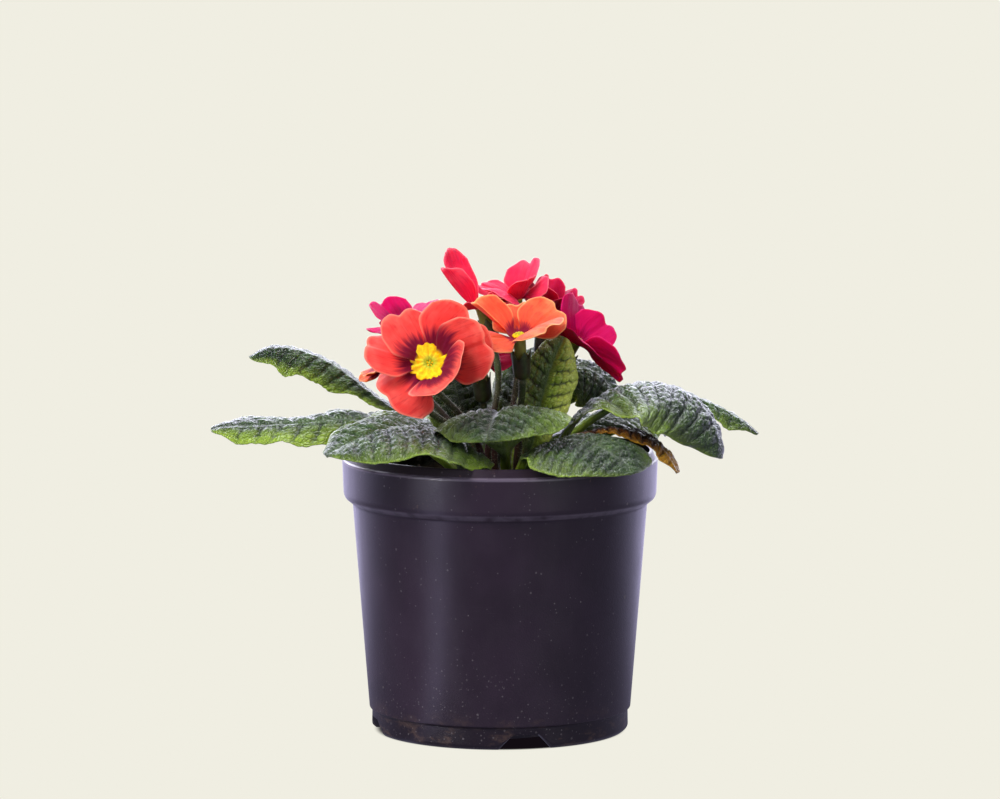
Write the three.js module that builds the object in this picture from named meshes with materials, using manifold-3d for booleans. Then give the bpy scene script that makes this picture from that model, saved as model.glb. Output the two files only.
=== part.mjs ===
// Potted primrose: a moulded nursery pot, its compost, a rosette of leaves and a posy of blooms.
// Millimetres, +Z up. The origin is the centre of the pot's base and the front looks along -Y.
import * as THREE from "three";
import { mergeVertices } from "three/addons/utils/BufferGeometryUtils.js";
import Module from "manifold-3d";

const wasm = await Module();
wasm.setup();

const { degToRad, lerp, smoothstep } = THREE.MathUtils;

// ---- driving dimensions ----------------------------------------------------------------------

const CLEARANCE = 0.35; // between any two pieces that rest on or in each other

const POT_HEIGHT = 94;
const COLLAR_RADIUS = 52.5; // outside, at the top corner of the collar
const COLLAR_TOP = 90.4; // where the collar meets the sloped lip
const COLLAR_FOOT = 79.6;
const BODY_TOP_RADIUS = 49.05;
const BODY_TOP = 76.3;
const BODY_FOOT_RADIUS = 43.7;
const BODY_FOOT = 9;
const SKIRT_RADIUS = 42.8; // the inset ring that the pot stands on
const SKIRT_TOP = 7.2;
const WALL = 1.3;
const WELL_RADIUS = 21; // the flat middle of the floor, which touches the table
const FLOOR_HEIGHT = 5.2; // underside of the raised part of the floor
const POT_SEGMENTS = 40;

const NOTCH_COUNT = 4;
const NOTCH_AZIMUTH = -78.3; // the first notch, degrees from +X towards +Y
const NOTCH_BOTTOM_WIDTH = 18.4;
const NOTCH_TOP_WIDTH = 8.5;
const NOTCH_HEIGHT = 5;
const DRAIN_HOLES = 8;
const DRAIN_RADIUS = 3.4;
const DRAIN_CIRCLE = 33;

const COMPOST_TOP = 85;
const COMPOST_LUMP = 1.1;
const FOOT_DEPTH = 6; // how far every stalk stands in the compost
const LEAF_HOLE_RADIUS = 2.75;
const STALK_HOLE_RADIUS = 1.95;

const BLADE_THICKNESS = 0.7;
const LEAF_STALK_HALF_WIDTH = 2;
const MIDRIB_DEPTH = 1.2;
const RIB_HEIGHT = 0.45; // corrugation over the side veins

const PETAL_THICKNESS = 0.6;
const THROAT_RADIUS = 1.9;
const TUBE_RADIUS = 2.05;
const TUBE_LENGTH = 12.6;
const THROAT_DEPTH = 3.6;
const CLAW_SHARE = 0.84; // of the way round the throat that the claws of the petals fill
const CUP_LENGTH = 13.6; // the green cup round the tube of a bloom, to the top of the stalk
const CUP_RADIUS = 3.3;
const STALK_RADIUS = 1.05;

const COLOURS = {
  pot: 0x2d2632,
  compost: 0x2a1d14,
  leaf: 0x37492f,
  oldLeaf: 0x6a3a22,
  stalk: 0x6f8f45,
  eye: 0xffd400,
  coral: 0xf5564e,
  orange: 0xf58a4a,
  magenta: 0xc8104f,
  pink: 0xe83a62,
  crimson: 0xa5123f,
};

// ---- joining and cutting ---------------------------------------------------------------------

function solidFrom(geometry) {
  const bare = geometry.clone();
  bare.deleteAttribute("normal");
  bare.deleteAttribute("uv");
  const merged = mergeVertices(bare, 1e-4);
  return new wasm.Manifold(new wasm.Mesh({
    numProp: 3,
    vertProperties: new Float32Array(merged.attributes.position.array),
    triVerts: new Uint32Array(merged.index.array),
  }));
}

function geometryFrom(solid) {
  const mesh = solid.getMesh();
  const geometry = new THREE.BufferGeometry();
  geometry.setAttribute("position", new THREE.BufferAttribute(new Float32Array(mesh.vertProperties), 3));
  geometry.setIndex(new THREE.BufferAttribute(new Uint32Array(mesh.triVerts), 1));
  geometry.computeVertexNormals();
  return geometry;
}

/** A closed mesh that grows ring by ring. Each point is kept once and named by its index. */
class Shell {
  points = [];
  triangles = [];

  ring(vectors) {
    return vectors.map((vector) => this.points.push(vector) - 1);
  }

  quad(a, b, c, d) {
    this.triangles.push(a, b, c, a, c, d);
  }

  /** Joins two rings or rows of equal length. Seen from outside, `upper` lies above `lower`. */
  strip(lower, upper, closed) {
    const count = closed ? lower.length : lower.length - 1;
    for (let i = 0; i < count; i += 1) {
      const next = (i + 1) % lower.length;
      this.quad(lower[i], lower[next], upper[next], upper[i]);
    }
  }

  /** Joins two stations of a thin blade: its upper face, its lower face and both edges. */
  blade(near, far) {
    const last = near.upper.length - 1;
    this.strip(near.upper, far.upper, false);
    this.strip(far.lower, near.lower, false);
    this.quad(near.upper[last], near.lower[last], far.lower[last], far.upper[last]);
    this.quad(near.lower[0], near.upper[0], far.upper[0], far.lower[0]);
  }

  /** Closes a ring with triangles round one of its own points or round a new middle point. */
  fan(middle, ring) {
    for (let i = 0; i < ring.length; i += 1) {
      const next = (i + 1) % ring.length;
      if (ring[i] !== middle && ring[next] !== middle) {
        this.triangles.push(middle, ring[i], ring[next]);
      }
    }
  }

  geometry() {
    const geometry = new THREE.BufferGeometry();
    const values = this.points.flatMap((point) => [point.x, point.y, point.z]);
    geometry.setAttribute("position", new THREE.Float32BufferAttribute(values, 3));
    geometry.setIndex(this.triangles);
    geometry.computeVertexNormals();
    return geometry;
  }
}

// ---- pot ---------------------------------------------------------------------------------------

/** Half of the pot's section, from the middle of its underside, up the outside and down the inside. */
function potProfile() {
  return [
    [0, 0],
    [WELL_RADIUS, 0],
    [WELL_RADIUS + 2, FLOOR_HEIGHT],
    [SKIRT_RADIUS - 1.9, FLOOR_HEIGHT],
    [SKIRT_RADIUS - 2.6, 0],
    [SKIRT_RADIUS - 1.4, 0],
    [SKIRT_RADIUS - 0.4, 0.5],
    [SKIRT_RADIUS, 1.6],
    [SKIRT_RADIUS - 0.1, SKIRT_TOP],
    [BODY_FOOT_RADIUS - 0.2, SKIRT_TOP + 0.5],
    [BODY_FOOT_RADIUS, BODY_FOOT],
    [BODY_TOP_RADIUS, BODY_TOP],
    [COLLAR_RADIUS - 0.9, COLLAR_FOOT - 1.2],
    [COLLAR_RADIUS - 0.4, COLLAR_FOOT],
    [COLLAR_RADIUS, COLLAR_TOP],
    [COLLAR_RADIUS - 0.2, COLLAR_TOP + 0.6],
    [COLLAR_RADIUS - 1.8, POT_HEIGHT],
    [COLLAR_RADIUS - 2.8, POT_HEIGHT],
    [COLLAR_RADIUS - WALL, COLLAR_TOP + 0.2],
    [COLLAR_RADIUS - WALL - 0.5, COLLAR_FOOT + 0.4],
    [BODY_TOP_RADIUS - WALL + 0.15, BODY_TOP + 1],
    [BODY_FOOT_RADIUS - WALL + 0.1, BODY_FOOT - 0.4],
    [BODY_FOOT_RADIUS - 2.2, FLOOR_HEIGHT + WALL - 0.1],
    [WELL_RADIUS + 2.8, FLOOR_HEIGHT + WALL - 0.1],
    [WELL_RADIUS + 0.8, WALL - 0.1],
    [0, WALL - 0.1],
  ];
}

/** A tapered block lying along +X that cuts one notch in the skirt. */
function notchCutter() {
  const half = NOTCH_BOTTOM_WIDTH / 2;
  const slope = (NOTCH_BOTTOM_WIDTH - NOTCH_TOP_WIDTH) / 2 / NOTCH_HEIGHT;
  const below = 1;
  const outline = new THREE.Shape([
    new THREE.Vector2(-half - below * slope, -below),
    new THREE.Vector2(half + below * slope, -below),
    new THREE.Vector2(NOTCH_TOP_WIDTH / 2, NOTCH_HEIGHT),
    new THREE.Vector2(-NOTCH_TOP_WIDTH / 2, NOTCH_HEIGHT),
  ]);
  const reach = 10;
  const block = new THREE.ExtrudeGeometry(outline, { depth: reach, bevelEnabled: false });
  block.rotateX(Math.PI / 2);
  block.rotateZ(Math.PI / 2);
  block.translate(SKIRT_RADIUS - reach / 2, 0, 0);
  return block;
}

function potGeometry() {
  const section = potProfile().map(([radius, height]) => new THREE.Vector2(radius, height));
  const turned = new THREE.LatheGeometry(section, POT_SEGMENTS);
  turned.rotateX(Math.PI / 2);
  let pot = solidFrom(turned);
  const ribLength = SKIRT_RADIUS - 2.4 - (WELL_RADIUS + 2.3);
  for (let i = 0; i < NOTCH_COUNT; i += 1) {
    const azimuth = degToRad(NOTCH_AZIMUTH + (i * 360) / NOTCH_COUNT);
    pot = pot.subtract(solidFrom(notchCutter().rotateZ(azimuth)));
    const rib = new THREE.BoxGeometry(ribLength, 1, FLOOR_HEIGHT - 0.8);
    rib.translate(SKIRT_RADIUS - 2.4 - ribLength / 2, 0, (FLOOR_HEIGHT + 1.2) / 2);
    pot = pot.add(solidFrom(rib.rotateZ(azimuth)));
  }
  for (let i = 0; i < DRAIN_HOLES; i += 1) {
    const azimuth = degToRad(NOTCH_AZIMUTH + ((i + 0.5) * 360) / DRAIN_HOLES);
    const hole = new THREE.CylinderGeometry(DRAIN_RADIUS, DRAIN_RADIUS, 6, 8);
    hole.rotateX(Math.PI / 2);
    hole.translate(DRAIN_CIRCLE * Math.cos(azimuth), DRAIN_CIRCLE * Math.sin(azimuth), FLOOR_HEIGHT + 0.6);
    pot = pot.subtract(solidFrom(hole));
  }
  return geometryFrom(pot);
}

// ---- compost -----------------------------------------------------------------------------------

const COMPOST_SEGMENTS = 20;

/** Gentle lumps, none at the middle where the stalks stand. */
function lump(x, y) {
  const distance = Math.hypot(x, y);
  const waves = Math.sin(0.31 * x + 1.3) * Math.cos(0.27 * y - 0.4) + Math.sin(0.19 * (x + y));
  return COMPOST_LUMP * waves * smoothstep(distance, 20, 30) * (1 - smoothstep(distance, 44, 50));
}

/** Fills the pot up to the compost's surface, with a plain hole for every stalk. */
function compostGeometry(leafFeet, stalkFeet) {
  const collarInside = COLLAR_RADIUS - WALL - 0.5 - CLEARANCE;
  const rings = [
    [WELL_RADIUS + 0.2, WALL - 0.1 + CLEARANCE],
    [WELL_RADIUS + 2, FLOOR_HEIGHT + WALL + 0.3],
    [BODY_FOOT_RADIUS - 2.5, FLOOR_HEIGHT + WALL + 0.3],
    [BODY_FOOT_RADIUS - WALL - 0.3, BODY_FOOT],
    [BODY_TOP_RADIUS - WALL - 0.25, BODY_TOP + 1.2],
    [collarInside, COLLAR_FOOT + 0.9],
    [collarInside, COMPOST_TOP - 1.2],
    [collarInside - 2.5, COMPOST_TOP],
    [38, COMPOST_TOP],
    [30, COMPOST_TOP],
    [22, COMPOST_TOP],
  ];
  const shell = new Shell();
  let below = null;
  let first = null;
  for (const [radius, height] of rings) {
    const ring = shell.ring(Array.from({ length: COMPOST_SEGMENTS }, (_, i) => {
      const azimuth = (i * 2 * Math.PI) / COMPOST_SEGMENTS;
      const x = radius * Math.cos(azimuth);
      const y = radius * Math.sin(azimuth);
      return new THREE.Vector3(x, y, height === COMPOST_TOP ? height + lump(x, y) : height);
    }));
    if (below) {
      shell.strip(below, ring, true);
    } else {
      first = ring;
    }
    below = ring;
  }
  const [bottom] = shell.ring([new THREE.Vector3(0, 0, rings[0][1])]);
  const [top] = shell.ring([new THREE.Vector3(0, 0, COMPOST_TOP)]);
  shell.fan(bottom, [...first].reverse());
  shell.fan(top, below);
  let compost = solidFrom(shell.geometry());
  const depth = FOOT_DEPTH + CLEARANCE;
  const drill = (feet, radius, sides) => {
    for (const [x, y] of feet) {
      const hole = new THREE.CylinderGeometry(radius, radius, 2 * depth, sides);
      hole.rotateX(Math.PI / 2);
      hole.translate(x, y, COMPOST_TOP);
      compost = compost.subtract(solidFrom(hole));
    }
  };
  drill(leafFeet, LEAF_HOLE_RADIUS, 7);
  drill(stalkFeet, STALK_HOLE_RADIUS, 6);
  return geometryFrom(compost);
}

// ---- leaves ------------------------------------------------------------------------------------

// Each leaf: its midrib from the compost to the tip, the way that its upper face looks, the share
// of its length that is bare stalk, the widths of its left and right halves and where along the
// blade they are widest, how both halves bend from the midrib to the edge (degrees, below zero is
// down, first at the foot of the blade and then at its tip) and the waves of its edge. Above 1,
// `late` keeps the change of that bend for the outer part of the blade.
const LEAVES = [
  {
    name: "leaf_left_upper",
    midrib: [[-15, 3.5], [-21, 4.5, 94], [-32, 6, 104], [-43, 7, 113], [-56, 8.5, 122.5], [-68, 9.5, 127],
      [-77, 10, 127.6], [-84, 10.5, 124.2]],
    face: [-0.25, -0.1, 1],
    stalk: 0.34,
    halfWidth: [11, 10.5],
    widestAt: 0.66,
    left: { rib: [-20, -18], edge: [-85, -70] },
    right: { rib: [-20, -20], edge: [-75, -60] },
    wave: { height: 0.8, count: 3, phase: 0.4 },
  },
  {
    name: "leaf_left_lower",
    midrib: [[-14.5, -3.5], [-22, -4.5, 93.5], [-35, -5, 101.6], [-50, -6, 105.2], [-66, -7, 104],
      [-82, -7, 103.2], [-91.5, -7, 102.8], [-96, -7, 101.8]],
    face: [0, -0.3, 1],
    stalk: 0.22,
    halfWidth: [10.8, 10.4],
    widestAt: 0.6,
    left: { rib: [-6, -5], edge: [-50, -35] },
    right: { rib: [0, 0], edge: [-25, -25] },
    wave: { height: 1.3, count: 2.2, phase: 2.6 },
  },
  {
    name: "leaf_front_left",
    midrib: [[-12, -9.5], [-14.5, -13.5, 96], [-20, -21.5, 102.6], [-28.5, -31, 106], [-38.5, -39.5, 105.8],
      [-48.5, -46, 102.6], [-56.5, -50.5, 99]],
    face: [0.06, -0.28, 1],
    stalk: 0.12,
    halfWidth: [31, 20],
    widestAt: 0.5,
    left: { rib: [-7, 22], edge: [-22, -14] },
    right: { rib: [8, 0], edge: [-8, -40] },
    wave: { height: 1.8, count: 2.2, phase: 2.4 },
  },
  {
    name: "leaf_front",
    midrib: [[1.5, -13.5], [1.6, -17, 98.5], [1.2, -25, 107.8], [-0.6, -34, 111], [-2.6, -43, 109.8],
      [-4, -50.5, 106.2], [-4.6, -53.5, 103.8]],
    face: [-0.17, -0.1, 1],
    stalk: 0.24,
    halfWidth: [26, 21.5],
    widestAt: 0.6,
    left: { rib: [6, 2], edge: [-18, -36] },
    right: { rib: [6, 6], edge: [-8, -30] },
    wave: { height: 1, count: 3, phase: 0 },
  },
  {
    name: "leaf_front_right",
    midrib: [[9, -14.5], [12, -18.5, 94.5], [19.5, -26, 100.4], [28, -34.5, 101.6], [35, -42, 99.4],
      [40.5, -48, 96], [43, -50.8, 93]],
    face: [-0.02, -0.1, 1],
    stalk: 0.2,
    halfWidth: [21.5, 28.5],
    widestAt: 0.62,
    left: { rib: [0, 0], edge: [-20, -34] },
    right: { rib: [-4, -4], edge: [-2, -12] },
    wave: { height: 0.7, count: 2, phase: 1 },
  },
  {
    name: "leaf_right",
    midrib: [[15, -1.5], [19.5, -2, 96], [28, -4, 108.5], [39, -7, 115.6], [51, -10, 117.6],
      [63, -14.5, 114.4], [70.5, -19, 106.4], [73, -22, 98.5], [73, -23.2, 94]],
    face: [0.4, -0.1, 1],
    stalk: 0.2,
    halfWidth: [20, 31],
    widestAt: 0.64,
    late: 1.5,
    left: { rib: [-6, -30], edge: [-40, -60] },
    right: { rib: [-6, -8], edge: [-27, -36] },
    wave: { height: 1.2, count: 3.2, phase: 2.2 },
  },
  {
    name: "leaf_old_right",
    midrib: [[14, -9], [19.5, -10.5, 95.5], [29, -12.8, 101.6], [39, -15, 103.4], [48, -18, 101.4],
      [55, -20.5, 96], [59, -22.5, 89.5]],
    face: [-0.15, 0.25, 1],
    stalk: 0.34,
    halfWidth: [8, 6],
    widestAt: 0.6,
    left: { rib: [-10, -5], edge: [-20, 20] },
    right: { rib: [-20, -25], edge: [-40, -50] },
    wave: { height: 0.6, count: 3, phase: 0.9 },
    old: true,
    plain: true,
  },
  {
    name: "leaf_far_right",
    midrib: [[14, 6], [20, 9, 94], [33, 15, 104], [48, 19.5, 110], [62, 20.5, 110.5], [75, 18.5, 105.8],
      [83.5, 17, 100.6], [87, 16.5, 97.4]],
    face: [0.1, 0, 1],
    stalk: 0.4,
    halfWidth: [8, 8],
    widestAt: 0.58,
    left: { rib: [-25, -25], edge: [-60, -50] },
    right: { rib: [-25, -25], edge: [-60, -50] },
    wave: { height: 0.8, count: 3, phase: 1.6 },
  },
  {
    name: "leaf_right_inner",
    midrib: [[8.5, 5], [11.5, 7, 98], [14.5, 9.5, 109], [19.5, 11.5, 117.5], [26.5, 12, 120.8],
      [33.5, 12, 118], [38.5, 12, 112], [40.5, 12, 107]],
    face: [0.1, -0.45, 1],
    stalk: 0.34,
    halfWidth: [12, 15],
    widestAt: 0.58,
    left: { rib: [-8, -10], edge: [-50, -50] },
    right: { rib: [-10, -15], edge: [-60, -60] },
    wave: { height: 0.9, count: 3, phase: 0.2 },
  },
  {
    name: "leaf_upright",
    midrib: [[6.5, -8], [10.8, -10.6, 97], [13, -12.5, 108], [15.5, -13.8, 118.5], [19, -14.3, 128.6],
      [21.2, -14.3, 133.2]],
    face: [-0.1, -1, 0.15],
    stalk: 0.24,
    halfWidth: [9.2, 9.9],
    widestAt: 0.6,
    left: { rib: [12, 5], edge: [-40, -40] },
    right: { rib: [12, 5], edge: [-32, -40] },
    wave: { height: 0.6, count: 2.5, phase: 0.8 },
  },
  {
    name: "leaf_back_inner",
    midrib: [[-7.2, 7.6], [-10, 14, 96], [-13, 21.5, 104.5], [-15, 28, 112], [-17, 33, 116.5],
      [-19, 37, 118.5]],
    face: [0.1, -1, 0.8],
    stalk: 0.24,
    halfWidth: [11.4, 12],
    widestAt: 0.6,
    left: { rib: [-4, -8], edge: [-30, -40] },
    right: { rib: [-4, -8], edge: [-40, -40] },
    wave: { height: 0.9, count: 2.5, phase: 2.8 },
    plain: true,
  },
  {
    name: "leaf_back_left",
    midrib: [[-13, 10.5], [-18, 14, 93.5], [-29, 20.5, 101.6], [-38.5, 29.5, 103], [-46, 38, 99.5],
      [-52.5, 44, 95.5]],
    face: [0, 0, 1],
    stalk: 0.26,
    halfWidth: [17, 17],
    widestAt: 0.58,
    left: { rib: [-2, -10], edge: [-35, -45] },
    right: { rib: [-2, -10], edge: [-35, -45] },
    wave: { height: 1.2, count: 2.4, phase: 1.9 },
    plain: true,
  },
  {
    name: "leaf_back",
    midrib: [[-5, 14.5], [-6.5, 20, 93.5], [-9, 32, 101.4], [-10.5, 46, 104], [-11.5, 58, 101.8],
      [-12, 66, 97.4]],
    face: [0, 0, 1],
    stalk: 0.26,
    halfWidth: [18, 18],
    widestAt: 0.58,
    left: { rib: [-4, -10], edge: [-32, -45] },
    right: { rib: [-4, -10], edge: [-32, -45] },
    wave: { height: 1.2, count: 2.6, phase: 0.6 },
    plain: true,
  },
  {
    name: "leaf_back_middle",
    midrib: [[3, 15], [5.5, 19, 98], [9, 25, 110], [14, 32, 119], [19.5, 40, 122.5], [25, 48.5, 120]],
    face: [0, -0.7, 1],
    stalk: 0.24,
    halfWidth: [17.5, 17.5],
    widestAt: 0.6,
    left: { rib: [-5, -10], edge: [-40, -50] },
    right: { rib: [-5, -10], edge: [-40, -50] },
    wave: { height: 1.2, count: 2.6, phase: 2.1 },
    plain: true,
  },
  {
    name: "leaf_back_right",
    midrib: [[10.5, 12.5], [15, 15.5, 93.5], [25, 22, 99.8], [37, 31, 102.4], [48, 40, 99.8], [55, 46, 94.6]],
    face: [0, 0, 1],
    stalk: 0.26,
    halfWidth: [17, 17],
    widestAt: 0.58,
    left: { rib: [-2, -10], edge: [-30, -45] },
    right: { rib: [-2, -10], edge: [-30, -45] },
    wave: { height: 1.2, count: 2.4, phase: 1.1 },
    plain: true,
  },
];

/** Where across an arc that turns evenly from one angle to another a point lies: [across, up]. */
function arcPoint(length, fromAngle, toAngle, whole) {
  const bend = (toAngle - fromAngle) / whole;
  if (Math.abs(bend) < 1e-5) {
    return [length * Math.cos(fromAngle), length * Math.sin(fromAngle)];
  }
  const angle = fromAngle + bend * length;
  return [(Math.sin(angle) - Math.sin(fromAngle)) / bend, (Math.cos(fromAngle) - Math.cos(angle)) / bend];
}

/** Half width of a leaf blade, 0 to 1: it narrows into the stalk and is rounded at the tip. */
function bladeOutline(along, widestAt) {
  const across = Math.sin(Math.PI * along ** (Math.log(0.5) / Math.log(widestAt)));
  return across ** lerp(0.9, 0.55, along);
}

/** Even steps, closer together towards the tip. */
function stations(count, gather) {
  return Array.from({ length: count + 1 }, (_, i) => 1 - (1 - i / count) ** gather);
}

/** The leaf's midrib as a smooth curve that starts straight up out of its hole. */
function midribCurve(leaf) {
  const [[x, y], ...rest] = leaf.midrib;
  const foot = [
    new THREE.Vector3(x, y, COMPOST_TOP - FOOT_DEPTH),
    new THREE.Vector3(x, y, COMPOST_TOP + 1),
  ];
  const points = [...foot, ...rest.map((point) => new THREE.Vector3(...point))];
  return new THREE.CatmullRomCurve3(points, false, "centripetal");
}

/**
 * One leaf as one closed shell. At each station along the midrib a ring runs over the upper face
 * and back under the lower one: flat-topped and thick in the stalk, thin and bent in the blade.
 */
function leafGeometry(leaf) {
  const curve = midribCurve(leaf);
  const across = leaf.plain ? [-1, -0.5, 0, 0.5, 1] : [-1, -0.66, -0.33, 0, 0.33, 0.66, 1];
  const stalkSteps = 3;
  const bladeSteps = leaf.plain ? 9 : 11;
  const stalkStations = stations(stalkSteps, 1).slice(0, -1).map((step) => (step - 1) * 1);
  const list = [...stalkStations, ...stations(bladeSteps, 1.35)];
  const face = new THREE.Vector3(...leaf.face).normalize();
  const shell = new Shell();
  const rings = list.map((along, index) => {
    const at = along < 0 ? leaf.stalk * (1 + along) : leaf.stalk + (1 - leaf.stalk) * along;
    const centre = curve.getPointAt(at);
    const forward = curve.getTangentAt(at);
    const up = face.clone().addScaledVector(forward, -face.dot(forward)).normalize();
    const side = forward.clone().cross(up);
    const blade = Math.max(along, 0);
    const opened = smoothstep(blade, 0, 0.25);
    const tip = smoothstep(blade, 0.8, 1);
    const turned = blade ** (leaf.late ?? 1);
    const wobble = 1 + 0.04 * Math.sin(index * 2.1 + leaf.wave.phase);
    const section = across.map((fraction) => {
      const half = fraction < 0 ? leaf.left : leaf.right;
      const widest = leaf.halfWidth[fraction < 0 ? 0 : 1];
      const grown = (widest - LEAF_STALK_HALF_WIDTH) * bladeOutline(blade, leaf.widestAt) * wobble;
      const halfWidth = LEAF_STALK_HALF_WIDTH * (1 - 0.6 * tip) + grown;
      const reach = Math.abs(fraction) * halfWidth;
      const fromAngle = degToRad(lerp(half.rib[0], half.rib[1], turned)) * opened;
      const toAngle = degToRad(lerp(half.edge[0], half.edge[1], turned)) * opened;
      const [out, rise] = arcPoint(reach, fromAngle, toAngle, halfWidth);
      const angle = fromAngle + (toAngle - fromAngle) * Math.abs(fraction);
      const turn = 2 * Math.PI * leaf.wave.count * blade + leaf.wave.phase + (fraction < 0 ? 2.1 : 0);
      const wave = leaf.wave.height * fraction ** 2 * Math.sin(turn) * opened * (1 - tip);
      const rib = RIB_HEIGHT * (index % 2 ? 1 : -1) * Math.abs(fraction) ** 0.5 * opened * (1 - tip);
      const round = Math.sqrt(Math.max(0, 1 - fraction ** 2));
      const stalkDepth = 2.1 * round * (1 - opened);
      const ribDepth = MIDRIB_DEPTH * (1 - 0.6 * blade) * Math.exp(-((reach / 1.6) ** 2)) * opened;
      const middle = centre.clone()
        .addScaledVector(side, Math.sign(fraction) * out)
        .addScaledVector(up, rise + wave + rib);
      const normal = up.clone().multiplyScalar(Math.cos(angle))
        .addScaledVector(side, -Math.sign(fraction) * Math.sin(angle));
      const over = BLADE_THICKNESS / 2 + stalkDepth * 0.35 - ribDepth * 0.3;
      const under = BLADE_THICKNESS / 2 + stalkDepth * 0.65 + ribDepth;
      return {
        upper: middle.clone().addScaledVector(normal, over),
        lower: middle.clone().addScaledVector(normal, -under),
      };
    });
    return {
      upper: shell.ring(section.map((point) => point.upper)),
      lower: shell.ring(section.map((point) => point.lower)),
    };
  });
  for (let i = 1; i < rings.length; i += 1) {
    shell.blade(rings[i - 1], rings[i]);
  }
  const foot = rings[0];
  const end = rings[rings.length - 1];
  shell.strip(foot.lower, foot.upper, false);
  shell.strip(end.upper, end.lower, false);
  return shell.geometry();
}

// ---- blooms ------------------------------------------------------------------------------------

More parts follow.
